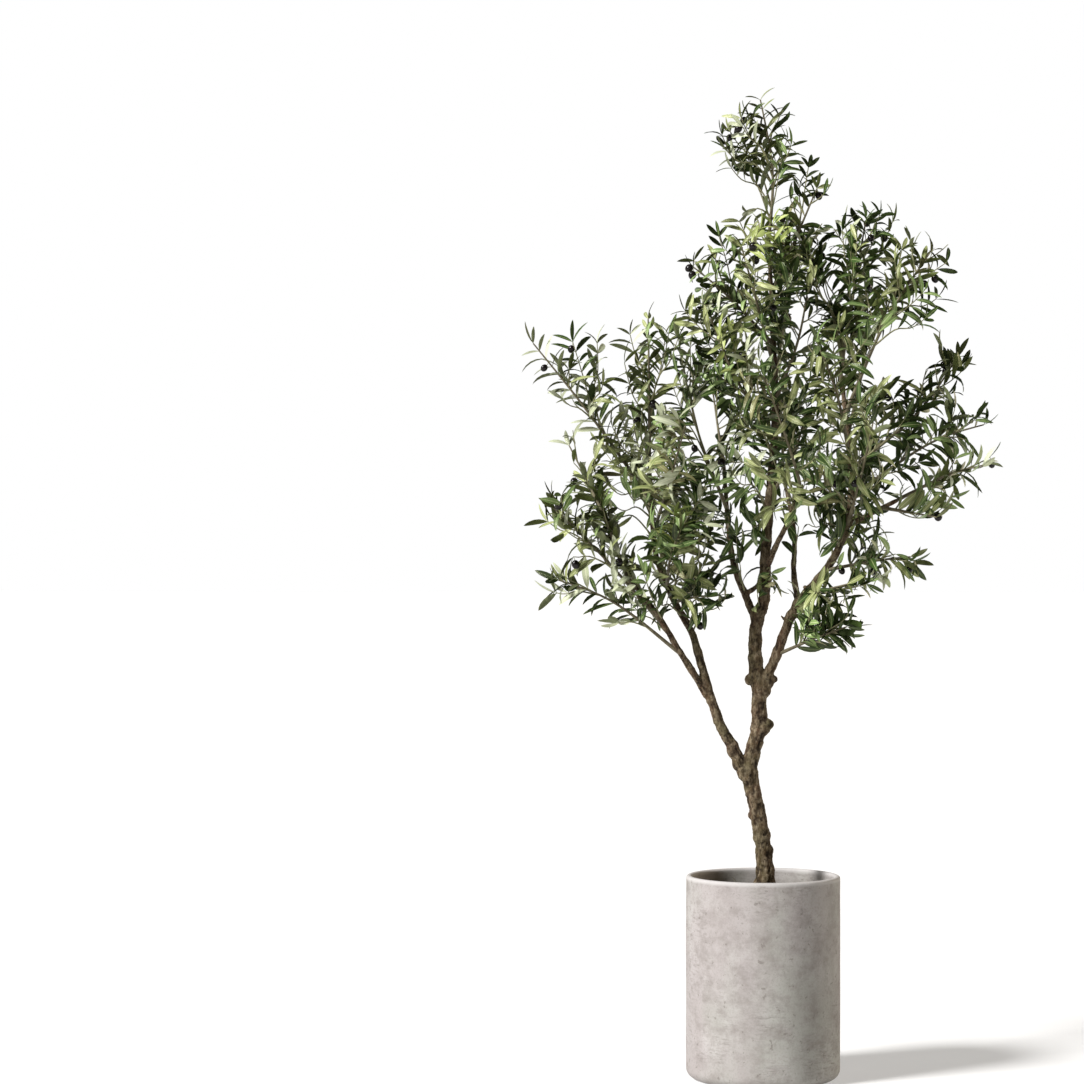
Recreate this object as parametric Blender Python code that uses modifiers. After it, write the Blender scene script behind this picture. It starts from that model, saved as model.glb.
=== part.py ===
"""An artificial olive tree, 1.96 m tall, standing in a tall round concrete planter."""

import math
import random

import bmesh
import bpy
from mathutils import Vector, geometry

# All sizes are in metres, and the origin is at the middle of the planter's flat underside.
POT_RADIUS = 0.1525
POT_HEIGHT = 0.400
POT_WALL = 0.012
POT_FLOOR = 0.022
LIP_ROUND = 0.005
LIP_PARTS = 2
FOOT_ROUND = 0.020
FOOT_PARTS = 3
POT_SIDES = 32

# The planter is filled to this level, and the trunk is cut flat there. GAP parts touching solids.
FILL_LEVEL = 0.356
GAP = 0.0003

# How much wider the trunk's foot flares, and over what height that dies away.
FLARE = 0.0125
FLARE_HEIGHT = 0.024

# Limbs: (course, foot radius, tip radius, sides). A course's first point lies on the limb that
# carries it: one that starts at that limb's tip grows on from it, and any other leaves its side.
LIMBS = {
    "trunk": (
        (
            (0.002, 0.000, FILL_LEVEL + GAP),
            (0.003, 0.000, 0.430),
            (-0.010, -0.003, 0.520),
            (-0.026, -0.006, 0.610),
            (-0.009, 0.002, 0.690),
            (-0.009, 0.008, 0.760),
            (-0.015, 0.011, 0.822),
        ),
        0.0168,
        0.0140,
        8,
    ),
    "leader": (
        (
            (-0.015, 0.011, 0.822),
            (-0.014, 0.013, 0.885),
            (0.002, 0.016, 0.950),
            (0.004, 0.022, 1.020),
            (0.011, 0.030, 1.120),
            (0.024, 0.034, 1.330),
            (0.013, 0.012, 1.628),
        ),
        0.0138,
        0.0042,
        6,
    ),
    "bough_left": (
        (
            (-0.021, -0.005, 0.586),
            (-0.058, -0.012, 0.650),
            (-0.092, -0.020, 0.718),
            (-0.127, -0.026, 0.838),
        ),
        0.0118,
        0.0088,
        6,
    ),
    "bough_left_inner": (
        (
            (-0.127, -0.026, 0.838),
            (-0.142, -0.018, 0.884),
            (-0.180, 0.006, 0.950),
            (-0.214, 0.030, 1.040),
            (-0.224, 0.040, 1.178),
        ),
        0.0080,
        0.0046,
        6,
    ),
    "bough_left_outer": (
        (
            (-0.111, -0.023, 0.758),
            (-0.166, -0.052, 0.848),
            (-0.206, -0.078, 0.916),
            (-0.248, -0.104, 0.972),
        ),
        0.0076,
        0.0052,
        6,
    ),
    "bough_centre_left": (
        (
            (-0.012, 0.014, 0.895),
            (-0.029, 0.030, 0.940),
            (-0.058, 0.062, 1.012),
            (-0.070, 0.106, 1.098),
            (-0.078, 0.148, 1.192),
        ),
        0.0086,
        0.0044,
        6,
    ),
    "bough_centre_front": (
        (
            (0.003, 0.020, 0.996),
            (0.022, -0.026, 1.044),
            (0.048, -0.086, 1.098),
            (0.064, -0.130, 1.150),
        ),
        0.0070,
        0.0042,
        6,
    ),
    "bough_right": (
        (
            (-0.006, 0.009, 0.764),
            (0.022, 0.003, 0.824),
            (0.044, -0.004, 0.884),
            (0.074, -0.014, 0.944),
            (0.144, -0.042, 1.038),
            (0.172, -0.058, 1.150),
            (0.156, -0.030, 1.370),
        ),
        0.0112,
        0.0046,
        6,
    ),
    "bough_right_inner": (
        (
            (0.070, -0.013, 0.936),
            (0.061, 0.026, 0.996),
            (0.062, 0.078, 1.080),
            (0.046, 0.130, 1.170),
        ),
        0.0066,
        0.0042,
        6,
    ),
    "bough_right_far": (
        (
            (0.162, -0.050, 1.090),
            (0.206, -0.066, 1.112),
            (0.264, -0.058, 1.142),
        ),
        0.0058,
        0.0042,
        6,
    ),
}
LIMB_STEP = 0.056
TAPER_POWER = 0.85
ROUNDING = {6: 1, 8: 2}  # sides to a curve's bevel_resolution

# A branch stands on a spur of its carrier, cut square over its last SEAT, where it is CLEAR of the
# limbs beside it. A limb's spur is swollen at its root.
SEAT = 0.004
CLEAR = 0.0016
SEAT_TESTS = 400
SPUR_SWELL = 1.12

# Knots on the limbs: height, bearing in degrees (0 right, 90 back, 180 left, 270 front), how far
# out their middle lies, and their radius. One larger than KNOT_ROUND gets finer faces.
KNOT_ROUND = 0.0140
KNOTS = {
    "trunk": (
        (0.374, 205, 0.021, 0.0100),
        (0.376, 335, 0.021, 0.0100),
        (0.452, 10, 0.012, 0.0085),
        (0.518, 175, 0.012, 0.0085),
        (0.604, 195, 0.012, 0.0150),
        (0.621, 190, 0.026, 0.0104),
        (0.698, 350, 0.016, 0.0115),
        (0.783, 190, 0.018, 0.0135),
        (0.788, 355, 0.034, 0.0130),
    ),
    "leader": ((0.912, 175, 0.004, 0.0150),),
    "bough_left": ((0.782, 160, 0.004, 0.0110),),
    "bough_right": ((0.936, 20, 0.004, 0.0125),),
}

# Foliage: (limb, share of the way along it, furthest leaf tip, bow of the stem's middle, spread to
# each side with the leaves, number of twigs, seed). Front is -Y. Each is a node, foliage_ and its name.
FOLIAGE = {
    "top": ("leader", 1.0, (-0.006, 0.000, 1.959), (0.018, 0.004, 0.0), 0.125, 5, 2),
    "top_right": ("leader", 0.90, (0.120, -0.020, 1.788), (0.0, -0.006, 0.0), 0.090, 2, 4),
    "upper_left": ("leader", 0.78, (-0.163, -0.050, 1.621), (0.0, -0.01, 0.010), 0.110, 3, 15),
    "upper_front": ("leader", 0.72, (-0.050, -0.170, 1.660), (0.0, -0.030, 0.0), 0.150, 4, 9),
    "upper_back": ("leader", 0.69, (0.060, 0.190, 1.640), (0.0, 0.030, -0.010), 0.150, 3, 28),
    "upper_middle": ("leader", 0.64, (0.095, -0.050, 1.600), (0.01, -0.01, -0.01), 0.120, 2, 14),
    "upper_right": ("bough_right", 1.0, (0.207, 0.000, 1.722), (-0.004, 0.0, 0.0), 0.130, 4, 18),
    "right_shoulder": ("bough_right", 0.91, (0.346, -0.050, 1.655), (-0.01, -0.02, 0.015), 0.130, 4, 2),
    "right_crest": ("bough_right", 0.84, (0.215, 0.170, 1.590), (0.01, 0.02, -0.01), 0.130, 2, 5),
    "centre_right": ("bough_right", 0.78, (0.093, -0.230, 1.463), (0.01, -0.03, 0.0), 0.150, 4, 15),
    "centre_front": ("bough_centre_front", 1.0, (-0.010, -0.310, 1.402), (0.01, -0.03, 0.0), 0.150, 4, 14),
    "centre_back": ("bough_right_inner", 1.0, (0.030, 0.310, 1.457), (0.0, 0.03, 0.0), 0.150, 3, 9),
    "back_left": ("bough_centre_left", 1.0, (-0.110, 0.310, 1.416), (0.0, 0.03, 0.0), 0.150, 4, 2),
    "centre_left": ("leader", 0.55, (-0.115, -0.090, 1.530), (-0.01, -0.02, -0.01), 0.140, 4, 5),
    "centre_middle": ("leader", 0.40, (0.095, 0.010, 1.360), (0.01, -0.01, -0.01), 0.130, 3, 16),
    "inner_left": ("bough_centre_left", 0.78, (-0.160, 0.040, 1.410), (-0.01, -0.01, 0.0), 0.110, 2, 15),
    "left_top": ("bough_left_inner", 1.0, (-0.229, 0.030, 1.539), (0.0, 0.0, 0.0), 0.115, 4, 30),
    "left_reach": ("bough_left_inner", 0.90, (-0.464, -0.090, 1.467), (0.0, -0.02, 0.01), 0.110, 4, 4),
    "left_front": ("bough_left_inner", 0.72, (-0.140, -0.210, 1.312), (0.0, -0.03, -0.01), 0.140, 4, 10),
    "left_back": ("bough_left_inner", 0.76, (-0.270, 0.250, 1.330), (0.0, 0.03, -0.01), 0.150, 4, 2),
    "left_lap": ("bough_left_inner", 0.42, (-0.150, -0.130, 1.110), (-0.01, -0.02, -0.01), 0.150, 5, 19),
    "left_side": ("bough_left_outer", 1.0, (-0.395, -0.080, 1.279), (0.005, -0.02, 0.0), 0.110, 3, 18),
    "left_arm": ("bough_left_outer", 0.60, (-0.430, -0.170, 1.150), (0.0, -0.01, 0.01), 0.100, 3, 3),
    "left_bottom": ("bough_left_outer", 0.36, (-0.432, -0.100, 0.996), (0.0, 0.0, 0.026), 0.080, 3, 17),
    "left_under": ("bough_left_inner", 0.32, (-0.080, -0.090, 0.946), (0.01, -0.02, 0.01), 0.110, 3, 17),
    "right_up": ("bough_right", 0.66, (0.467, 0.020, 1.300), (0.01, 0.0, 0.030), 0.110, 4, 25),
    "right_high": ("bough_right", 0.74, (0.406, 0.080, 1.456), (0.02, 0.02, -0.01), 0.110, 4, 6),
    "right_tip": ("bough_right_far", 1.0, (0.477, -0.080, 1.218), (0.0, 0.0, 0.014), 0.080, 3, 2),
    "right_low": ("bough_right_far", 0.70, (0.361, -0.180, 1.101), (0.0, -0.01, 0.0), 0.090, 3, 3),
    "right_under": ("bough_right", 0.42, (0.318, -0.120, 1.034), (0.0, -0.01, 0.004), 0.080, 3, 27),
    "right_bottom": ("bough_right", 0.12, (0.197, -0.070, 0.905), (0.0, -0.02, 0.004), 0.085, 3, 9),
    "right_back": ("bough_right", 0.52, (0.230, 0.230, 1.300), (0.0, 0.03, -0.01), 0.140, 4, 10),
    "right_front": ("bough_right", 0.57, (0.215, -0.260, 1.320), (0.0, -0.03, -0.01), 0.140, 4, 25),
    "right_lap": ("bough_right", 0.32, (0.190, -0.130, 0.985), (0.0, -0.01, 0.0), 0.110, 3, 17),
}

# Stems: radii at foot and tip, length of a piece, share that bears no twig, the lead from a limb's
# tip, and the length at the end that bears the stem's own leaves.
STEM_FOOT = 0.0052
STEM_TIP = 0.0036
STEM_STEP = 0.110
STEM_BARE = 0.22
STEM_LEAD = 0.03
STEM_LEAFY = 0.17

# Twigs stand at the golden angle round their stem, lean out from it in degrees, and turn up.
TWIG_FOOT = 0.0031
TWIG_TIP = 0.0025
TWIG_PARTS = 2
TWIG_SHORTEST = 0.035
TWIG_BARE = 0.35
TWIG_LEAN = 52
TWIG_LEAN_VARIES = 9
TWIG_SHRINKS = 0.3
GOLDEN_ANGLE = 137.5
UPWARD = 0.42
LOWEST_TWIG = -0.2

# Leaves stand in opposite pairs, each pair a quarter turn on from the last, with one at the tip.
LEAF_LENGTH = 0.088
LEAF_WIDTH = 0.0260
LEAF_THICKNESS = 0.0022
LEAF_WIDEST = 0.42
LEAF_VARIES = (0.85, 1.1)
LEAF_SUNK = 0.0010
LEAF_INSET = 0.004
LEAF_LEAN = 44
LEAF_LEAN_VARIES = 10
LEAF_ROLL = 55
LEAF_SPACING = 0.086
LEAF_APART = 0.013

# Every third mass has an olive on its first twig, this share of the way along.
OLIVE_LENGTH = 0.018
OLIVE_RADIUS = 0.0074
OLIVE_SUNK = 0.15
OLIVE_PLACE = 0.45
OLIVE_MASSES = 3
OLIVE_TRIES = 12

# A twig or leaf is tried this often, in other directions, and then skipped. It keeps nearer its own
# stem than any other by SPACE_MARGIN, and LIMB_MARGIN clear of every limb.
TRIES = 4
TRY_TURN = 0.5
PROBE_STEP = 0.02
SPACE_MARGIN = 0.004
LIMB_MARGIN = 0.003
UP = Vector((0, 0, 1))


def clear_scene():
    for thing in list(bpy.data.objects):
        bpy.data.objects.remove(thing, do_unlink=True)


def collection(name):
    made = bpy.data.collections.new(name)
    bpy.context.scene.collection.children.link(made)
    return made


def material(name, colour, roughness, metallic=0.0):
    made = bpy.data.materials.new(name)
    made.use_nodes = True
    shader = made.node_tree.nodes["Principled BSDF"]
    shader.inputs["Base Color"].default_value = (*colour, 1)
    shader.inputs["Roughness"].default_value = roughness
    shader.inputs["Metallic"].default_value = metallic
    return made


def concrete():
    return material("concrete", (0.46, 0.42, 0.39), 0.85)


def moss():
    return material("moss", (0.10, 0.085, 0.05), 0.95)


def bark():
    return material("bark", (0.11, 0.088, 0.060), 0.85)


def leaf_green():
    return material("leaf_green", (0.085, 0.11, 0.045), 0.55)


# Courses ------------------------------------------------------------------------------------------


def smooth_course(points, step):
    """Points a step apart on the smooth curve through the given ones."""
    knots = [Vector(p) for p in points]
    ends = [2 * knots[0] - knots[1]] + knots + [2 * knots[-1] - knots[-2]]
    fine = [knots[0]]
    for before, here, there, after in zip(ends, ends[1:], ends[2:], ends[3:]):
        leave = here + (there - before) / 6
        arrive = there - (after - here) / 6
        fine.extend(geometry.interpolate_bezier(here, leave, arrive, there, 25)[1:])
    return resample(fine, step)


def length_of(course):
    return sum((b - a).length for a, b in zip(course, course[1:]))


def point_at(course, distance):
    """The point and the direction this far along a course."""
    for a, b in zip(course, course[1:]):
        part = (b - a).length
        if distance <= part:
            return a.lerp(b, distance / part), (b - a).normalized()
        distance -= part
    return course[-1].copy(), (course[-1] - course[-2]).normalized()


def resample(course, step):
    whole = length_of(course)
    count = max(2, round(whole / step))
    return [point_at(course, whole * i / count)[0] for i in range(count + 1)]


def nearest(point, course, radii=None):
    """Distance from a point to a course, less the course's own radius there where it is given."""
    best = 1e9
    for i, (a, b) in enumerate(zip(course, course[1:])):
        foot, share = geometry.intersect_point_line(point, a, b)
        share = min(max(share, 0.0), 1.0)
        gap = (point - a.lerp(b, share)).length
        if radii:
            gap -= radii[i] + (radii[i + 1] - radii[i]) * share
        best = min(best, gap)
    return best


def taper(course, foot, tip):
    count = len(course) - 1
    return [foot + (tip - foot) * (i / count) ** TAPER_POWER for i in range(count + 1)]


def junction(course, seat, along, step):
    """A course cut at a seat: the part before it and the part after, square to each other there."""
    where = point_at(course, seat)[0]
    middle = point_at(course, seat / 2)[0]
    before = [course[0], middle, where - along * SEAT, where]
    left = seat + 3 * SEAT
    rest = length_of(course) - left
    count = max(2, round(rest / step))
    after = [where + along * GAP, where + along * (GAP + SEAT)]
    after += [point_at(course, left + rest * i / count)[0] for i in range(count + 1)]
    return before, after


def seat_of(course, radius, neighbours):
    """How far along a course its section stands clear of the limbs beside it."""
    whole = length_of(course)
    for i in range(4, SEAT_TESTS):
        distance = whole * i / SEAT_TESTS
        point = point_at(course, distance)[0]
        if all(nearest(point, *neighbour) > radius + CLEAR for neighbour in neighbours):
            return distance + SEAT
    return whole / 2


# Shapes -------------------------------------------------------------------------------------------


def tube(name, course, radii, sides, section=None):
    """A tube along a course with a radius at each point; a three-sided one takes the section."""
    data = bpy.data.curves.new(name, "CURVE")
    data.dimensions = "3D"
    data.use_fill_caps = True
    if sides == 3:
        data.bevel_mode = "OBJECT"
        data.bevel_object = section
    else:
        data.bevel_depth = 1.0
        data.bevel_resolution = ROUNDING[sides]
    spline = data.splines.new("POLY")
    spline.points.add(len(course) - 1)
    for point, place, radius in zip(spline.points, course, radii):
        point.co = (*place, 1)
        point.radius = radius
    drawn = bpy.data.objects.new(name, data)
    bpy.context.scene.collection.objects.link(drawn)
    bpy.context.view_layer.update()
    mesh = bpy.data.meshes.new_from_object(drawn.evaluated_get(bpy.context.evaluated_depsgraph_get()))
    bpy.data.objects.remove(drawn, do_unlink=True)
    return closed_mesh(name, mesh)


def closed_mesh(name, mesh):
    """Welds a tube's caps to its sides and turns its faces out."""
    shape = bmesh.new()
    shape.from_mesh(mesh)
    bmesh.ops.remove_doubles(shape, verts=shape.verts, dist=1e-6)
    bmesh.ops.recalc_face_normals(shape, faces=shape.faces)
    shape.to_mesh(mesh)
    shape.free()
    return bpy.data.objects.new(name, mesh)


def triangle_section():
    """The three-sided section of a stem or twig, one metre in radius."""
    data = bpy.data.curves.new("three_sided", "CURVE")
    spline = data.splines.new("POLY")
    spline.points.add(2)
    for i, point in enumerate(spline.points):
        turn = 2 * math.pi * i / 3
        point.co = (math.cos(turn), math.sin(turn), 0, 1)
    spline.use_cyclic_u = True
    made = bpy.data.objects.new("three_sided", data)
    made.hide_render = True
    made.display_type = "WIRE"
    return made


def knot(where, radius):
    shape = bmesh.new()
    bmesh.ops.create_icosphere(shape, subdivisions=2 if radius > KNOT_ROUND else 1, radius=radius)
    bmesh.ops.translate(shape, verts=shape.verts, vec=where)
    return from_bmesh("knot", shape)


def from_bmesh(name, shape):
    mesh = bpy.data.meshes.new(name)
    shape.to_mesh(mesh)
    shape.free()
    return bpy.data.objects.new(name, mesh)


def frame_of(along, flat):
    """Axes with Z along a direction and Y as near to the flat one as it can be."""
    side = along.cross(flat).normalized()
    return side, side.cross(along).normalized() * -1, along


def placed(shape, where, axes):
    for vert in shape.verts:
        x, y, z = vert.co
        vert.co = where + axes[0] * x + axes[1] * y + axes[2] * z


def leaf(where, along, flat, size):
    """An eight-faced leaf, widest below its middle, with its root sunk in the twig."""
    shape = bmesh.new()
    bmesh.ops.create_uvsphere(shape, u_segments=4, v_segments=2, radius=1)
    below = LEAF_LENGTH * size * LEAF_WIDEST
    above = LEAF_LENGTH * size - below
    for vert in shape.verts:
        x, y, z = vert.co
        vert.co = (
            x * LEAF_WIDTH * size / 2,
            y * LEAF_THICKNESS / 2,
            z * (above if z > 0 else below) + below - LEAF_SUNK,
        )
    placed(shape, where, frame_of(along, flat))
    bmesh.ops.recalc_face_normals(shape, faces=shape.faces)
    return from_bmesh("leaf", shape)


def olive(where, along):
    """A twenty-faced olive whose stalk end is sunk in the twig."""
    shape = bmesh.new()
    bmesh.ops.create_icosphere(shape, subdivisions=1, radius=1)
    for vert in shape.verts:
        x, y, z = vert.co
        out = z * OLIVE_LENGTH / 2 + OLIVE_LENGTH * (0.5 - OLIVE_SUNK)
        vert.co = (x * OLIVE_RADIUS, y * OLIVE_RADIUS, out)
    placed(shape, where, frame_of(along, along.orthogonal()))
    bmesh.ops.recalc_face_normals(shape, faces=shape.faces)
    return from_bmesh("olive", shape)


def fused(base, pieces):
    """The base with its pieces joined to it by one Boolean union, as one closed outer skin."""
    if not pieces:
        return base
    helpers = collection("joined_to_" + base.name)
    for piece in pieces:
        helpers.objects.link(piece)
    bpy.context.scene.collection.objects.link(base)
    join = base.modifiers.new("join", "BOOLEAN")
    join.operation = "UNION"
    join.operand_type = "COLLECTION"
    join.collection = helpers
    for solver in ("EXACT", "MANIFOLD"):
        join.solver = solver
        bpy.context.view_layer.update()
        mesh = bpy.data.meshes.new_from_object(base.evaluated_get(bpy.context.evaluated_depsgraph_get()))
        if keep_outer_skin(mesh):
            break
    base.modifiers.clear()
    base.data = mesh
    for piece in pieces:
        bpy.data.objects.remove(piece, do_unlink=True)
    bpy.data.collections.remove(helpers)
    bpy.context.scene.collection.objects.unlink(base)
    return base


def keep_outer_skin(mesh):
    """Drops the loose scraps and sealed hollows that a union can leave, and says if it is closed."""
    shape = bmesh.new()
    shape.from_mesh(mesh)
    islands = []
    unseen = set(shape.verts)
    while unseen:
        island = {unseen.pop()}
        edge_of_island = list(island)
        while edge_of_island:
            for edge in edge_of_island.pop().link_edges:
                for vert in edge.verts:
                    if vert in unseen:
                        unseen.remove(vert)
                        island.add(vert)
                        edge_of_island.append(vert)
        islands.append(island)
    islands.sort(key=len)
    loose = [vert for island in islands[:-1] for vert in island]
    bmesh.ops.delete(shape, geom=loose, context="VERTS")
    closed = all(part.is_manifold for part in [*shape.edges, *shape.verts])
    shape.to_mesh(mesh)
    shape.free()
    return closed


def finish(thing, finish_material, parts, smooth=True):
    parts.objects.link(thing)
    thing.data.materials.clear()
    thing.data.materials.append(finish_material)
    if smooth:
        thing.data.shade_smooth()
        thing.data.set_sharp_from_angle(angle=math.radians(40))
    return thing


# Planter ------------------------------------------------------------------------------------------


def arc(centre, radius, start, stop, parts):
    for i in range(parts + 1):
        turn = math.radians(start + (stop - start) * i / parts)
        yield centre[0] + radius * math.cos(turn), centre[1] + radius * math.sin(turn)


def turned(name, profile, sides):
    """A profile at +X, top to bottom on its outer side, turned round the Z axis."""
    mesh = bpy.data.meshes.new(name)
    mesh.from_pydata([(x, 0, z) for x, z in profile], [(i, i + 1) for i in range(len(profile) - 1)], [])
    made = bpy.data.objects.new(name, mesh)
    turn = made.modifiers.new("turn", "SCREW")
    turn.axis = "Z"
    turn.steps = sides
    turn.render_steps = sides
    turn.use_merge_vertices = True
    turn.merge_threshold = 0.00001
    turn.use_smooth_shade = True
    return made


def pot():
    inside = POT_RADIUS - POT_WALL
    profile = [(0, POT_FLOOR), (inside, POT_FLOOR)]
    profile += arc((inside + LIP_ROUND, POT_HEIGHT - LIP_ROUND), LIP_ROUND, 180, 90, LIP_PARTS)
    profile += arc((POT_RADIUS - LIP_ROUND, POT_HEIGHT - LIP_ROUND), LIP_ROUND, 90, 0, LIP_PARTS)
    profile += arc((POT_RADIUS - FOOT_ROUND, FOOT_ROUND), FOOT_ROUND, 0, -90, FOOT_PARTS)
    profile += [(0, 0)]
    return turned("pot", profile, POT_SIDES)


def filling():
    edge = POT_RADIUS - POT_WALL - GAP
    low = POT_FLOOR + GAP
    return turned("filling", [(0, FILL_LEVEL), (edge, FILL_LEVEL), (edge, low), (0, low)], POT_SIDES)


# Tree ---------------------------------------------------------------------------------------------


def limb_course(name):
    return smooth_course(LIMBS[name][0], LIMB_STEP)


def limb_radii(name, course):
    points, foot, tip, sides = LIMBS[name]
    radii = taper(course, foot, tip)
    if name == "trunk":
        radii = [r + FLARE * math.exp((course[0].z - p.z) / FLARE_HEIGHT) for r, p in zip(radii, course)]
    return radii


def carrier_of(name):
    """The limb whose course this limb's first point lies on, and whether it is that limb's tip."""
    start = Vector(LIMBS[name][0][0])
    for other, (points, *rest) in LIMBS.items():
        if other != name and (Vector(points[-1]) - start).length < 1e-6:
            return other, True
    gaps = {other: nearest(start, limb_course(other)) for other in LIMBS if other != name}
    return min(gaps, key=gaps.get), False


def stem_course(name):
    """A stem's course from its limb to where its last leaf stands, a leaf short of its reach."""
    limb, share, reach, bow, *rest = FOLIAGE[name]
    carrier = limb_course(limb)
    start, along = point_at(carrier, length_of(carrier) * share)
    reach = Vector(reach)
    middle = (start + reach) / 2 + Vector(bow)
    points = [start, middle, reach]
    if share == 1.0:
        points.insert(1, start + along * STEM_LEAD)
    course = smooth_course(points, STEM_STEP / 3)
    end = length_of(course) - LEAF_LENGTH
    return [point_at(course, end * i / 12)[0] for i in range(13)]


def grown_from(course, radius, carrier, beside, at_tip, step):
    """The spur on a carrier that a branch stands on, if it leaves the side, and the branch itself."""
    if at_tip:
        other = limb_course(carrier)
        end = (other[-1] - other[-2]).normalized()
        return None, junction(course, 0.0, end, step)[1]
    courses = {name: limb_course(name) for name in beside}
    seat = seat_of(course, radius, [(courses[name], limb_radii(name, courses[name])) for name in courses])
    return junction(course, seat, point_at(course, seat)[1], step)


def branches():
    """For each limb and stem, its course and radii from its seat on; for each limb, its spurs."""
    bodies, spurs = {}, {name: [] for name in LIMBS}
    foot = limb_course("trunk")[0]
    low = [foot, foot + UP * SEAT] + smooth_course(LIMBS["trunk"][0], LIMB_STEP / 3)[1:6]
    high = [p for p in limb_course("trunk") if p.z > low[-1].z + LIMB_STEP / 2]
    bodies["trunk"] = low + high, limb_radii("trunk", low + high)
    carriers = {name: carrier_of(name) for name in list(LIMBS)[1:]}
    for name in carriers:
        points, foot, tip, sides = LIMBS[name]
        carrier, at_tip = carriers[name]
        beside = [carrier] + [other for other in carriers if other != name and carriers[other][0] == carrier]
        spur, course = grown_from(limb_course(name), foot, carrier, beside, at_tip, LIMB_STEP)
        if spur:
            spurs[carrier].append((spur, [foot * SPUR_SWELL] * 2 + [foot] * 2, sides))
        bodies[name] = course, taper(course, foot, tip)
    for name, (limb, share, *rest) in FOLIAGE.items():
        at_tip = share == 1.0
        foot = LIMBS[limb][2] if at_tip else STEM_FOOT
        spur, course = grown_from(stem_course(name), foot, limb, LIMBS, at_tip, STEM_STEP)
        if spur:
            spur.pop(1)
            spurs[limb].append((spur, [foot] * len(spur), 3))
        bodies[name] = course, taper(course, foot, STEM_TIP)
    return bodies, spurs


def limb(name, bodies, spurs, section):
    """One tapering limb with its knots and with the short spurs that its branches stand on."""
    course, radii = bodies[name]
    base = tube(name, course, radii, LIMBS[name][3])
    added = [tube("spur", *spur, section=section) for spur in spurs[name]]
    for height, bearing, out, radius in KNOTS.get(name, ()):
        middle = min(course, key=lambda p: abs(p.z - height))
        turn = math.radians(bearing)
        where = Vector((middle.x + out * math.cos(turn), middle.y + out * math.sin(turn), height))
        added.append(knot(where, radius))
    return fused(base, added)


def twig_course(start, along, outward, length, dice):
    """A twig that leaves its stem at a slant and turns up towards its tip."""
    lean = math.radians(TWIG_LEAN + dice.uniform(-TWIG_LEAN_VARIES, TWIG_LEAN_VARIES))
    heading = along * math.cos(lean) + outward * math.sin(lean)
    course = [start.copy()]
    for i in range(TWIG_PARTS):
        course.append(course[-1] + heading.normalized() * length / TWIG_PARTS)
        heading = heading.normalized() + UP * UPWARD * dice.uniform(0.3, 1.0)
    return course


def leaf_direction(along, turn, dice):
    """The way a leaf points from its twig and the way its blade faces."""
    side = along.orthogonal().normalized()
    out = side * math.cos(turn) + along.cross(side) * math.sin(turn)
    lean = math.radians(LEAF_LEAN + dice.uniform(-LEAF_LEAN_VARIES, LEAF_LEAN_VARIES))
    heading = along * math.cos(lean) + out * math.sin(lean)
    face = along * math.sin(lean) - out * math.cos(lean)
    roll = math.radians(dice.uniform(-LEAF_ROLL, LEAF_ROLL))
    return heading, face * math.cos(roll) + heading.cross(face) * math.sin(roll)


def keeps_space(name, points, stems):
    """Whether every point lies nearer this mass's stem than any other's, by the margin."""
    for point in points:
        own = nearest(point, stems[name])
        for other, course in stems.items():
            if other != name and nearest(point, course) < own + SPACE_MARGIN:
                return False
    return True


def clears(points, others, margin):
    """Whether every point stays this far from the surfaces of the others, each a course and radii."""
    return all(nearest(point, *other) > margin for point in points for other in others)


def shoots_of(name, bodies, limbs, stems):
    """A mass's stem and its twigs, at the golden angle round it: course, radii and bare share."""
    spread, twigs, seed = FOLIAGE[name][4:]
    dice = random.Random(f"twigs {seed}")
    stem, radii = bodies[name]
    whole = length_of(stem)
    shoots = [(stem, radii, max(STEM_BARE, 1 - STEM_LEAFY / whole))]
    turn = dice.uniform(0, 2 * math.pi)
    for i in range(twigs):
        place = STEM_BARE + (1 - STEM_BARE) * (i + 0.3) / twigs
        start, along = point_at(stem, whole * place)
        length = spread * dice.uniform(0.85, 1.1) * (1.1 - TWIG_SHRINKS * place) - LEAF_LENGTH * 0.6
        for attempt in range(TRIES):
            turn += math.radians(GOLDEN_ANGLE)
            side = along.orthogonal().normalized()
            outward = side * math.cos(turn) + along.cross(side) * math.sin(turn)
            outward.z = max(outward.z, LOWEST_TWIG)
            twig = twig_course(start, along, outward, max(length, TWIG_SHORTEST), dice)
            probes = resample(twig, PROBE_STEP)[1:]
            if keeps_space(name, probes, stems) and clears(probes, limbs, LIMB_MARGIN + TWIG_FOOT):
                shoots.append((twig, taper(twig, TWIG_FOOT, TWIG_TIP), TWIG_BARE))
                break
    return shoots


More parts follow.
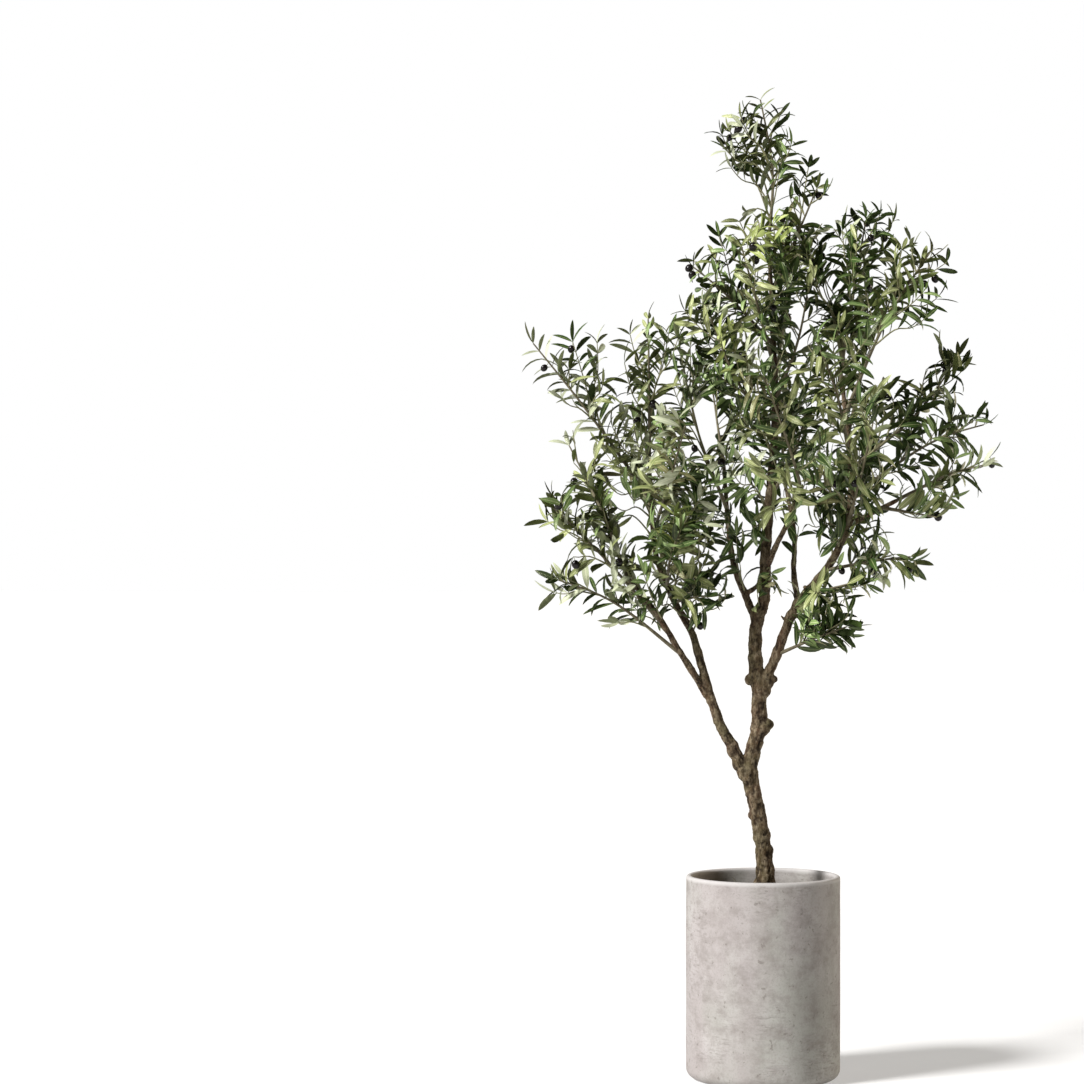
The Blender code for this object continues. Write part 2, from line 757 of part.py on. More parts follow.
def leaves_of(name, shoots, limbs, stems):
    """A mass's leaves, in opposite pairs along its shoots, each clear of all that it could touch."""
    seed = FOLIAGE[name][-1]
    dice = random.Random(f"leaves {seed}")
    grown = []
    for number, (shoot, radii, bare) in enumerate(shoots):
        around = limbs + [other[:2] for i, other in enumerate(shoots) if i != number]
        whole = length_of(shoot)
        pairs = max(1, round(whole * (1 - bare) / LEAF_SPACING))
        turn = dice.uniform(0, math.pi)
        for i in range(pairs + 1):
            where, along = point_at(shoot, whole * (bare + (1 - bare) * i / pairs) - LEAF_INSET)
            turn += math.pi / 2
            for half_turn in (0, math.pi) if i < pairs else (0,):
                size = dice.uniform(*LEAF_VARIES)
                for attempt in range(TRIES):
                    heading, face = leaf_direction(along, turn + half_turn + attempt * TRY_TURN, dice)
                    if i == pairs and attempt == 0:
                        heading = along
                    blade = [where + heading * LEAF_LENGTH * size * part for part in (0.3, 0.6, 1.0)]
                    across = heading.cross(face).normalized() * LEAF_WIDTH / 2
                    probes = blade + [blade[0] + across, blade[0] - across]
                    others = [(leaf[4], None) for leaf in grown]
                    if (
                        keeps_space(name, probes, stems)
                        and clears(probes, around, LIMB_MARGIN)
                        and clears(blade, others, LEAF_APART)
                    ):
                        grown.append((where, heading, face, size, blade))
                        break
    return grown


def olives_of(name, shoots, leaves, limbs, stems):
    """The olive that hangs from the first twig of every third mass, clear of all but its twig."""
    if list(FOLIAGE).index(name) % OLIVE_MASSES or len(shoots) < 2:
        return []
    twig = shoots[1][0]
    where, along = point_at(twig, length_of(twig) * OLIVE_PLACE)
    others = [(leaf[4], None) for leaf in leaves] + limbs + [shoots[0][:2]]
    for i in range(OLIVE_TRIES):
        out = along.orthogonal().normalized()
        across = along.cross(out)
        turn = i * math.radians(GOLDEN_ANGLE)
        heading = (out * math.cos(turn) + across * math.sin(turn)).normalized()
        probes = [where + heading * OLIVE_LENGTH * part for part in (0.5, 0.9)]
        free = clears(probes, others, OLIVE_RADIUS * 1.4) and keeps_space(name, probes, stems)
        if free and heading.z < 0:
            return [(where, heading)]
    return []


def foliage(name, bodies, limbs, stems, section):
    """One mass: stem, twigs, leaves and at most one olive, joined into one solid."""
    shoots = shoots_of(name, bodies, limbs, stems)
    leaves = leaves_of(name, shoots, limbs, stems)
    base, *pieces = [tube("foliage_" + name, course, radii, 3, section) for course, radii, bare in shoots]
    pieces += [leaf(where, heading, face, size) for where, heading, face, size, blade in leaves]
    pieces += [olive(*place) for place in olives_of(name, shoots, leaves, limbs, stems)]
    return fused(base, pieces)


def main():
    clear_scene()
    parts = collection("potted_olive_tree")
    stone = concrete()
    finish(pot(), stone, parts)
    finish(filling(), moss(), parts)
    bodies, spurs = branches()
    limbs = [bodies[name] for name in LIMBS]
    stems = {name: bodies[name][0] for name in FOLIAGE}
    wood = bark()
    section = triangle_section()
    collection("guides").objects.link(section)
    for name in LIMBS:
        finish(limb(name, bodies, spurs, section), wood, parts)
    green = leaf_green()
    for name in FOLIAGE:
        finish(foliage(name, bodies, limbs, stems, section), green, parts, smooth=False)


main()
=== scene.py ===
"""The finish of an artificial olive tree in a tall round concrete planter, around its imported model."""

import math
import random

import bmesh
import bpy
import numpy as np
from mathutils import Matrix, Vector, geometry, kdtree, noise


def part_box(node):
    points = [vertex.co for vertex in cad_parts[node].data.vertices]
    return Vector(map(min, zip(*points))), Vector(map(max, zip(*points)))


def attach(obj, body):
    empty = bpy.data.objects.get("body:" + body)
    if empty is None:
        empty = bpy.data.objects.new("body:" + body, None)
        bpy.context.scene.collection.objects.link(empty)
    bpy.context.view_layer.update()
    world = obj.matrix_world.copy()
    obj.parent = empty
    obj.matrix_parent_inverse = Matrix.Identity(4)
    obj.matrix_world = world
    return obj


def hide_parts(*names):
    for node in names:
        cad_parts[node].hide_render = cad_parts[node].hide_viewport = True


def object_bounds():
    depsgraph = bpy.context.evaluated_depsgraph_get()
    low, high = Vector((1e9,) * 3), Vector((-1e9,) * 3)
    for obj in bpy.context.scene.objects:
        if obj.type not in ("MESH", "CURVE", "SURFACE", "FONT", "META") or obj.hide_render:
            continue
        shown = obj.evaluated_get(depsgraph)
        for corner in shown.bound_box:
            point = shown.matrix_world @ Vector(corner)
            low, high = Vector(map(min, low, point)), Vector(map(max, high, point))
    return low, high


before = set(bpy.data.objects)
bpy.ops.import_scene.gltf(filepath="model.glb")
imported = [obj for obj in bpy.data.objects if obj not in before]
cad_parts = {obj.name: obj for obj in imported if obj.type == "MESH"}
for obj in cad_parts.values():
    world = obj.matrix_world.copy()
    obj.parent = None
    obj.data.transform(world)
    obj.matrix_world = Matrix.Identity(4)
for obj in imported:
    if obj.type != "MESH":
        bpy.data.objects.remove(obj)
cad_box = [list(corner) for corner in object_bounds()]
everything = bpy.context.scene.collection


# Planter ------------------------------------------------------------------------------------------
# A straight round planter, cast in one piece in pale grey concrete, with a soft lip and a rounded
# foot. Its skin keeps the marks of the mould: air pits, faint rings and clouds of cement.

POT_LOW, POT_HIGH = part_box("pot")
POT_RADIUS = (POT_HIGH.x - POT_LOW.x) / 2
POT_HEIGHT = POT_HIGH.z
POT_WALL = 0.012
POT_FLOOR = 0.022
LIP_ROUND = 0.0055
FOOT_ROUND = 0.020
LIP_PARTS = 6
FOOT_PARTS = 12
POT_STEPS = 384
POT_ROW = 0.0026
# The inner wall is plain below this height, and its rows are this much coarser above it.
PLAIN_BELOW = 0.30
INNER_ROWS = 1.6
SKIN_WAVE = 0.0006
SKIN_WAVE_SCALE = 9.0
SKIN_SINK = 0.55
PIT_COUNT = 110
PIT_RADII = (0.0012, 0.0036)
PIT_DEPTHS = (0.0004, 0.0014)
PIT_LOWEST = 0.03
PIT_BELOW_LIP = 0.015


def node(tree, kind, inputs=None, **settings):
    """Adds a shader node with its settings, and gives its inputs values or other nodes' outputs."""
    made = tree.nodes.new("ShaderNode" + kind)
    for key, value in settings.items():
        setattr(made, key, value)
    for key, value in (inputs or {}).items():
        if isinstance(value, bpy.types.NodeSocket):
            tree.links.new(value, made.inputs[key])
        else:
            made.inputs[key].default_value = value
    return made


def ramp(tree, factor, *stops):
    """A colour ramp through (place, colour) stops, driven by a factor."""
    made = node(tree, "ValToRGB", {0: factor})
    while len(made.color_ramp.elements) < len(stops):
        made.color_ramp.elements.new(0.5)
    for element, (place, colour) in zip(made.color_ramp.elements, stops):
        element.position = place
        element.color = (*colour, 1) if len(colour) == 3 else (colour[0],) * 3 + (1,)
    return made.outputs["Color"]


def blend(tree, factor, one, other, kind="MIX"):
    """Mixes two colours by a factor."""
    made = node(tree, "Mix", data_type="RGBA", blend_type=kind)
    for place, value in ((0, factor), (6, one), (7, other)):
        if isinstance(value, bpy.types.NodeSocket):
            tree.links.new(value, made.inputs[place])
        else:
            made.inputs[place].default_value = value if place == 0 else (*value, 1)
    return made.outputs[2]


def grain(tree, where, scale, detail=4.0, rough=0.55):
    """The factor of a noise texture at this scale."""
    inputs = {"Vector": where, "Scale": scale, "Detail": detail, "Roughness": rough}
    return node(tree, "TexNoise", inputs).outputs[0]


def stretched(tree, where, size):
    return node(tree, "Mapping", {"Vector": where, "Scale": size}).outputs[0]


def new_finish(name, roughness, gloss=0.5):
    """A material with its tree, its shader and the place on the object to draw patterns by."""
    made = bpy.data.materials.new(name)
    made.use_nodes = True
    tree = made.node_tree
    shader = tree.nodes["Principled BSDF"]
    shader.inputs["Roughness"].default_value = roughness
    shader.inputs["Specular IOR Level"].default_value = gloss
    return made, tree, shader, node(tree, "TexCoord").outputs["Object"]


def relief(tree, shader, height, distance, strength=1.0):
    inputs = {"Height": height, "Distance": distance, "Strength": strength}
    tree.links.new(node(tree, "Bump", inputs).outputs[0], shader.inputs["Normal"])


def cast_concrete():
    """Pale grey concrete: pinkish and greenish clouds, soft smudges, rubbed marks and fine specks, with a
    painted highlight along the top of the lip.
    """
    made, tree, shader, where = new_finish("cast_concrete", 0.8, 0.25)
    clouds = grain(tree, where, 10.0, 6.0, 0.62)
    tint = grain(tree, stretched(tree, where, (1.0, 1.0, 0.5)), 5.0, 3.0)
    pinkish = ramp(tree, clouds, (0.3, (0.297, 0.268, 0.258)), (0.7, (0.371, 0.343, 0.335)))
    greenish = ramp(tree, clouds, (0.3, (0.281, 0.275, 0.247)), (0.7, (0.359, 0.355, 0.328)))
    base = blend(tree, ramp(tree, tint, (0.42, (0.0,)), (0.6, (1.0,))), pinkish, greenish)
    smudge = grain(tree, stretched(tree, where, (1.0, 1.0, 1.2)), 24.0, 8.0, 0.72)
    base = blend(tree, ramp(tree, smudge, (0.46, (0.0,)), (0.70, (0.95,))), base, (0.216, 0.193, 0.180))
    pale = grain(tree, stretched(tree, where, (1.0, 1.0, 0.8)), 19.0, 6.0, 0.66)
    base = blend(tree, ramp(tree, pale, (0.50, (0.0,)), (0.75, (0.45,))), base, (0.461, 0.443, 0.424))
    rubbed = grain(tree, stretched(tree, where, (1.0, 1.0, 4.5)), 55.0, 5.0, 0.62)
    patch = grain(tree, where, 12.0, 2.0)
    marks = blend(tree, 1.0, ramp(tree, rubbed, (0.51, (0.0,)), (0.70, (0.7,))),
                  ramp(tree, patch, (0.46, (0.0,)), (0.64, (1.0,))), "MULTIPLY")
    base = blend(tree, marks, base, (0.175, 0.154, 0.143))
    spots = ramp(tree, grain(tree, where, 88.0, 3.0), (0.645, (0.0,)), (0.70, (0.6,)))
    base = blend(tree, spots, base, (0.147, 0.127, 0.113))
    speckle = grain(tree, where, 240.0, 4.0, 0.7)
    base = blend(tree, ramp(tree, speckle, (0.50, (0.0,)), (0.75, (0.5,))), base, (0.203, 0.183, 0.169))
    # Painted highlight: the top of the lip is painted paler, where light falls on it from above.
    lip = ramp(tree, node(tree, "SeparateXYZ", {0: where}).outputs[2], (POT_HEIGHT - 0.009, (0.0,)),
               (POT_HEIGHT - 0.004, (0.7,)))
    base = blend(tree, lip, base, (0.516, 0.497, 0.487))
    tree.links.new(base, shader.inputs["Base Color"])
    relief(tree, shader, blend(tree, 0.5, speckle, smudge), 0.0008, 0.7)
    return made


def arc(centre, radius, start, stop, parts):
    """Points on an arc from a start to a stop angle, in degrees."""
    for i in range(parts + 1):
        turn = math.radians(start + (stop - start) * i / parts)
        yield centre[0] + radius * math.cos(turn), centre[1] + radius * math.sin(turn)


def rows(radius, start, stop, step):
    """Points that cut a straight wall into rows between two heights."""
    count = max(1, round(abs(stop - start) / step))
    return [(radius, start + (stop - start) * i / count) for i in range(1, count)]


def turned(name, profile, steps):
    """A profile at +X, top to bottom on its outer side, turned round the Z axis."""
    mesh = bpy.data.meshes.new(name)
    mesh.from_pydata([(x, 0, z) for x, z in profile], [(i, i + 1) for i in range(len(profile) - 1)], [])
    made = bpy.data.objects.new(name, mesh)
    everything.objects.link(made)
    turn = made.modifiers.new("turn", "SCREW")
    turn.steps = steps
    turn.render_steps = steps
    turn.use_merge_vertices = True
    turn.merge_threshold = 0.00001
    return made


def made_mesh(thing):
    """Replaces an object's data by its evaluated mesh, with no modifiers left."""
    bpy.context.view_layer.update()
    mesh = bpy.data.meshes.new_from_object(thing.evaluated_get(bpy.context.evaluated_depsgraph_get()))
    thing.modifiers.clear()
    if thing.type == "CURVE":
        drawn, thing = thing, bpy.data.objects.new(thing.name, mesh)
        everything.objects.link(thing)
        bpy.data.objects.remove(drawn, do_unlink=True)
    else:
        thing.data = mesh
    return thing


def points_of(mesh):
    flat = np.empty(len(mesh.vertices) * 3, np.float32)
    mesh.vertices.foreach_get("co", flat)
    return flat.reshape(-1, 3).astype(float)


def smooth(thing, finish, sharp=40):
    """Gives a piece its finish and shades it smooth but for its sharp edges."""
    thing.data.materials.clear()
    thing.data.materials.append(finish)
    thing.data.shade_smooth()
    thing.data.set_sharp_from_angle(angle=math.radians(sharp))


def planter_profile():
    inner = POT_RADIUS - POT_WALL
    lip = POT_HEIGHT - LIP_ROUND
    profile = [(0, POT_FLOOR), (inner, POT_FLOOR), (inner, PLAIN_BELOW)]
    profile += rows(inner, PLAIN_BELOW, lip, POT_ROW * INNER_ROWS)
    profile += arc((inner + LIP_ROUND, lip), LIP_ROUND, 180, 90, LIP_PARTS)
    profile += arc((POT_RADIUS - LIP_ROUND, lip), LIP_ROUND, 90, 0, LIP_PARTS)
    profile += rows(POT_RADIUS, lip, FOOT_ROUND, POT_ROW)
    profile += arc((POT_RADIUS - FOOT_ROUND, FOOT_ROUND), FOOT_ROUND, 0, -90, FOOT_PARTS)
    return profile + [(0, 0)]


def dent(points, dice):
    """Sinks air pits into the outer wall, and draws the skin in and out in shallow waves."""
    outer = np.hypot(points[:, 0], points[:, 1])
    outward = points[:, :2] / np.maximum(outer, 1e-6)[:, None]
    wall = (outer > POT_RADIUS - POT_WALL - 0.001) & (points[:, 2] > 0.002)
    for i in np.nonzero(wall)[0]:
        wave = noise.noise(Vector(points[i]) * SKIN_WAVE_SCALE) - SKIN_SINK
        points[i, :2] += outward[i] * SKIN_WAVE * wave
    for number in range(PIT_COUNT):
        bearing = dice.uniform(0, 2 * math.pi)
        height = dice.uniform(PIT_LOWEST, POT_HEIGHT - PIT_BELOW_LIP)
        radius = dice.uniform(*PIT_RADII)
        depth = dice.uniform(*PIT_DEPTHS)
        middle = np.array((POT_RADIUS * math.cos(bearing), POT_RADIUS * math.sin(bearing), height))
        away = np.linalg.norm(points - middle, axis=1) / radius
        near = (away < 1) & (outer > POT_RADIUS - 0.003)
        points[near, :2] -= outward[near] * (depth * (1 - away[near] ** 2))[:, None]
    return points


planter = made_mesh(turned("concrete_planter", planter_profile(), POT_STEPS))
planter.data.vertices.foreach_set("co", dent(points_of(planter.data), random.Random(4)).ravel())
smooth(planter, cast_concrete())
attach(planter, "root")
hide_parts("pot")


# Filling ------------------------------------------------------------------------------------------
# The tree is set in a ballast that comes up to a hand's breadth below the lip. It is dressed with
# dried moss, glued on in loose curled tufts.

FILL_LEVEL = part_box("filling")[1].z
MOSS_RINGS = 44
MOSS_STEPS = 180
MOSS_LUMP = 0.0075
MOSS_DEPTH = 0.03
TUFT_COUNT = 1500
TUFT_LENGTHS = (0.012, 0.034)
TUFT_RADIUS = 0.0006
TUFT_PARTS = 6
TUFT_CURL = 0.35


def dried_moss():
    made, tree, shader, where = new_finish("dried_moss", 0.95, 0.1)
    tone = grain(tree, where, 60.0, 6.0, 0.65)
    base = ramp(tree, tone, (0.3, (0.028, 0.022, 0.012)), (0.55, (0.085, 0.075, 0.035)),
                (0.8, (0.19, 0.16, 0.085)))
    tree.links.new(base, shader.inputs["Base Color"])
    relief(tree, shader, grain(tree, where, 700.0), 0.002)
    return made


def moss_fibre():
    made, tree, shader, where = new_finish("moss_fibre", 0.85, 0.15)
    tone = grain(tree, where, 45.0, 3.0)
    base = ramp(tree, tone, (0.35, (0.07, 0.065, 0.025)), (0.65, (0.20, 0.175, 0.085)))
    tree.links.new(base, shader.inputs["Base Color"])
    relief(tree, shader, grain(tree, where, 900.0), 0.0004)
    return made


def moss_height(x, y):
    return FILL_LEVEL - MOSS_LUMP * 0.5 + MOSS_LUMP * noise.fractal(Vector((x, y, 0)) * 28, 0.8, 2.1, 4)


class Tubes:
    """Gathers many tapering tubes along courses into one mesh."""

    def __init__(self, sides):
        self.sides = sides
        self.points = []
        self.faces = []

    def add(self, course, radii):
        """A closed tube whose rings turn as little as they can from point to point."""
        first = len(self.points)
        side = (course[1] - course[0]).orthogonal().normalized()
        for i, (place, radius) in enumerate(zip(course, radii)):
            along = (course[min(i + 1, len(course) - 1)] - course[max(i - 1, 0)]).normalized()
            side = (side - along * side.dot(along)).normalized()
            across = along.cross(side)
            for k in range(self.sides):
                turn = 2 * math.pi * k / self.sides
                self.points.append(place + (side * math.cos(turn) + across * math.sin(turn)) * radius)
            if i:
                start = first + (i - 1) * self.sides
                for k in range(self.sides):
                    here, there = start + k, start + (k + 1) % self.sides
                    self.faces.append((here, there, there + self.sides, here + self.sides))
        last = first + (len(course) - 1) * self.sides
        self.faces.append(tuple(range(first + self.sides - 1, first - 1, -1)))
        self.faces.append(tuple(range(last, last + self.sides)))

    def piece(self, name):
        mesh = bpy.data.meshes.new(name)
        mesh.from_pydata(self.points, [], self.faces)
        made = bpy.data.objects.new(name, mesh)
        everything.objects.link(made)
        return made


def moss_bed():
    """A lumpy disc that closes the planter, with a flat underside."""
    edge = POT_RADIUS - POT_WALL - 0.0005
    profile = [(edge * i / MOSS_RINGS, FILL_LEVEL) for i in range(MOSS_RINGS + 1)]
    profile += [(edge, FILL_LEVEL - MOSS_DEPTH), (0, FILL_LEVEL - MOSS_DEPTH)]
    bed = made_mesh(turned("moss_bed", profile, MOSS_STEPS))
    for vert in bed.data.vertices:
        if vert.co.z > FILL_LEVEL - 0.01:
            vert.co.z = moss_height(vert.co.x, vert.co.y)
    return bed


def moss_tufts(dice):
    tufts = Tubes(3)
    for number in range(TUFT_COUNT):
        out = (POT_RADIUS - POT_WALL - 0.004) * math.sqrt(dice.random())
        bearing = dice.uniform(0, 2 * math.pi)
        place = Vector((out * math.cos(bearing), out * math.sin(bearing), 0))
        place.z = moss_height(place.x, place.y)
        heading = Vector((dice.gauss(0, 1), dice.gauss(0, 1), dice.uniform(0.1, 1.2))).normalized()
        curl = Vector((dice.gauss(0, 1), dice.gauss(0, 1), dice.gauss(-0.6, 0.5)))
        length = dice.uniform(*TUFT_LENGTHS)
        course = [place]
        for part in range(TUFT_PARTS):
            course.append(course[-1] + heading * length / TUFT_PARTS)
            heading = (heading + curl * TUFT_CURL).normalized()
        limit = POT_RADIUS - POT_WALL - TUFT_RADIUS * 2
        if all(math.hypot(p.x, p.y) < limit and p.z < POT_HEIGHT - 0.01 for p in course):
            tufts.add(course, [TUFT_RADIUS * (1.1 - 0.12 * i) for i in range(TUFT_PARTS + 1)])
    return tufts.piece("moss_tufts")


bed = moss_bed()
smooth(bed, dried_moss())
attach(bed, "root")
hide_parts("filling")
tufts = moss_tufts(random.Random(8))
smooth(tufts, moss_fibre())
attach(tufts, "root")


# Trunk and boughs ---------------------------------------------------------------------------------
# The wood is a wire core wrapped and dipped to look like old bark: knobbly and ridged low down,
# smoother and more olive up the boughs, with a swelling at every fork and the stubs of cut twigs.

# Limbs: (course, foot radius, tip radius). A course starts on the limb that carries it.
LIMBS = {
    "trunk": (
        (
            (0.002, 0.000, 0.3563), (0.003, 0.000, 0.430), (-0.010, -0.003, 0.520),
            (-0.026, -0.006, 0.610), (-0.009, 0.002, 0.690), (-0.009, 0.008, 0.760),
            (-0.015, 0.011, 0.822),
        ),
        0.0168,
        0.0140,
    ),
    "leader": (
        (
            (-0.015, 0.011, 0.822), (-0.014, 0.013, 0.885), (0.002, 0.016, 0.950), (0.004, 0.022, 1.020),
            (0.011, 0.030, 1.120), (0.024, 0.034, 1.330), (0.013, 0.012, 1.628),
        ),
        0.0138,
        0.0042,
    ),
    "bough_left": (
        (
            (-0.021, -0.005, 0.586), (-0.058, -0.012, 0.650), (-0.092, -0.020, 0.718),
            (-0.127, -0.026, 0.838),
        ),
        0.0118,
        0.0088,
    ),
    "bough_left_inner": (
        (
            (-0.127, -0.026, 0.838), (-0.142, -0.018, 0.884), (-0.180, 0.006, 0.950),
            (-0.214, 0.030, 1.040), (-0.224, 0.040, 1.178),
        ),
        0.0080,
        0.0046,
    ),
    "bough_left_outer": (
        (
            (-0.111, -0.023, 0.758), (-0.166, -0.052, 0.848), (-0.206, -0.078, 0.916),
            (-0.248, -0.104, 0.972),
        ),
        0.0076,
        0.0052,
    ),
    "bough_centre_left": (
        (
            (-0.012, 0.014, 0.895), (-0.029, 0.030, 0.940), (-0.058, 0.062, 1.012),
            (-0.070, 0.106, 1.098), (-0.078, 0.148, 1.192),
        ),
        0.0086,
        0.0044,
    ),
    "bough_centre_front": (
        (
            (0.003, 0.020, 0.996), (0.022, -0.026, 1.044), (0.048, -0.086, 1.098), (0.064, -0.130, 1.150),
        ),
        0.0070,
        0.0042,
    ),
    "bough_right": (
        (
            (-0.006, 0.009, 0.764), (0.022, 0.003, 0.824), (0.044, -0.004, 0.884), (0.074, -0.014, 0.944),
            (0.144, -0.042, 1.038), (0.172, -0.058, 1.150), (0.156, -0.030, 1.370),
        ),
        0.0112,
        0.0046,
    ),
    "bough_right_inner": (
        (
            (0.070, -0.013, 0.936), (0.061, 0.026, 0.996), (0.062, 0.078, 1.080), (0.046, 0.130, 1.170),
        ),
        0.0066,
        0.0042,
    ),
    "bough_right_far": (
        (
            (0.162, -0.050, 1.090), (0.206, -0.066, 1.112), (0.264, -0.058, 1.142),
        ),
        0.0058,
        0.0042,
    ),
}
# Small growths on the wood: a bridge from the left branch back to the leader, and cut stubs.
GROWTHS = (
    (((-0.036, 0.036, 0.956), (-0.018, 0.028, 0.966), (0.002, 0.018, 0.986)), 0.0046, 0.0060),
    (((0.056, -0.008, 0.893), (0.043, -0.012, 0.906), (0.035, -0.014, 0.914)), 0.0040, 0.0022),
    (((0.088, -0.020, 0.955), (0.085, -0.030, 0.966), (0.081, -0.036, 0.972)), 0.0050, 0.0044),
)
# Knots: height, bearing in degrees (0 right, 90 back, 180 left, 270 front), how far out, radius,
# and how long they are for their width.
KNOTS = {
    "trunk": (
        (0.374, 205, 0.021, 0.0100, 1.0), (0.376, 335, 0.021, 0.0100, 1.0),
        (0.371, 95, 0.019, 0.0110, 1.0), (0.395, 290, 0.011, 0.0090, 1.7), (0.450, 5, 0.011, 0.0100, 1.2),
        (0.478, 350, 0.010, 0.0080, 1.3), (0.500, 60, 0.011, 0.0090, 1.6),
        (0.519, 178, 0.013, 0.0075, 1.1), (0.558, 185, 0.013, 0.0055, 1.0),
        (0.570, 300, 0.010, 0.0090, 1.6), (0.596, 250, 0.010, 0.0120, 1.5),
        (0.604, 195, 0.012, 0.0150, 1.2), (0.624, 190, 0.025, 0.0125, 1.5),
        (0.655, 183, 0.010, 0.0075, 1.2), (0.694, 352, 0.010, 0.0145, 1.2),
        (0.698, 352, 0.018, 0.0112, 1.0), (0.722, 185, 0.010, 0.0060, 1.0),
        (0.765, 340, 0.012, 0.0135, 1.2), (0.782, 350, 0.020, 0.0130, 1.1),
        (0.786, 187, 0.013, 0.0110, 1.0), (0.789, 185, 0.017, 0.0085, 1.0),
        (0.787, 358, 0.034, 0.0072, 1.1),
    ),
    "leader": (
        (0.850, 260, 0.004, 0.0120, 1.8), (0.912, 175, 0.004, 0.0145, 1.4),
        (0.985, 10, 0.004, 0.0105, 1.3),
    ),
    "bough_left": (
        (0.650, 180, 0.003, 0.0125, 1.6), (0.782, 160, 0.004, 0.0108, 1.6),
    ),
    "bough_right": (
        (0.930, 20, 0.004, 0.0118, 1.8), (0.912, 200, 0.004, 0.0098, 1.3),
    ),
}
FLARE = 0.0125
FLARE_HEIGHT = 0.024
TAPER_POWER = 0.85
LIMB_STEP = 0.006
FORK_SWELL = 1.12
NODULE_COUNT = 46
NODULE_RADII = (0.0026, 0.0048)
BARK_VOXEL = 0.0018
RIDGE_ROUND = 2.2
RIDGE_ALONG = 58.0
RIDGE_SHARE = 0.10
LUMP_SCALE = 62.0
LUMP_SHARE = 0.17
BARK_RIDGED = 0.0018
BARK_LUMPED = 0.0030
FLECK_SCALE = 190
FLECK_SHARE = 0.35
# The ridges die away over this distance from where two limbs meet.
FORK_EASE = 0.006
UP = Vector((0, 0, 1))


def old_bark():
    """Brown bark, redder or more olive by patches, with painted shade darkening its hollows so that its
    ridges read paler.
    """
    made, tree, shader, where = new_finish("old_bark", 0.84, 0.15)
    height = node(tree, "Attribute", attribute_name="relief").outputs["Fac"]
    patches = grain(tree, stretched(tree, where, (1.0, 1.0, 0.5)), 26.0, 5.0, 0.6)
    base = ramp(tree, patches, (0.38, (0.070, 0.036, 0.020)), (0.6, (0.070, 0.052, 0.025)))
    fibres = grain(tree, stretched(tree, where, (1.0, 1.0, 0.4)), 150.0, 6.0, 0.68)
    worn = ramp(tree, fibres, (0.42, (0.0,)), (0.7, (0.85,)))
    base = blend(tree, worn, base, (0.275, 0.222, 0.150))
    lichen = grain(tree, where, 17.0, 4.0)
    base = blend(tree, ramp(tree, lichen, (0.48, (0.0,)), (0.7, (0.5,))), base, (0.105, 0.102, 0.050))
    # Painted shade: the low parts of the carved relief are darkened nearly to black.
    painted_hollow_shade = ramp(tree, height, (0.2, (0.92,)), (0.58, (0.0,)))
    base = blend(tree, painted_hollow_shade, base, (0.014, 0.008, 0.004))
    specks = ramp(tree, grain(tree, where, 210.0, 3.0), (0.32, (0.8,)), (0.44, (0.0,)))
    base = blend(tree, specks, base, (0.026, 0.017, 0.010))
    tree.links.new(base, shader.inputs["Base Color"])
    rough = blend(tree, 0.5, fibres, grain(tree, where, 420.0, 3.0))
    relief(tree, shader, rough, 0.0020, 1.0)
    return made


def smooth_course(points, step):
    """Points a step apart on the smooth curve through the given ones."""
    knots = [Vector(p) for p in points]
    ends = [2 * knots[0] - knots[1]] + knots + [2 * knots[-1] - knots[-2]]
    fine = [knots[0]]
    for before, here, there, after in zip(ends, ends[1:], ends[2:], ends[3:]):
        leave = here + (there - before) / 6
        arrive = there - (after - here) / 6
        fine.extend(geometry.interpolate_bezier(here, leave, arrive, there, 25)[1:])
    return resample(fine, step)


def length_of(course):
    return sum((b - a).length for a, b in zip(course, course[1:]))


def point_at(course, distance):
    """The point and the direction this far along a course."""
    for a, b in zip(course, course[1:]):
        part = (b - a).length
        if distance <= part:
            return a.lerp(b, distance / part), (b - a).normalized()
        distance -= part
    return course[-1].copy(), (course[-1] - course[-2]).normalized()


def resample(course, step):
    whole = length_of(course)
    count = max(2, round(whole / step))
    return [point_at(course, whole * i / count)[0] for i in range(count + 1)]


def taper(course, foot, tip):
    count = len(course) - 1
    return [foot + (tip - foot) * (i / count) ** TAPER_POWER for i in range(count + 1)]


def limb_radii(name, course):
    radii = taper(course, *LIMBS[name][1:])
    if name == "trunk":
        radii = [r + FLARE * math.exp((course[0].z - p.z) / FLARE_HEIGHT) for r, p in zip(radii, course)]
    return radii


def ball(shape, where, radius, long=1.0):
    made = bmesh.ops.create_icosphere(shape, subdivisions=3, radius=radius)
    bmesh.ops.scale(shape, verts=made["verts"], vec=(1, 1, long))
    bmesh.ops.translate(shape, verts=made["verts"], vec=where)


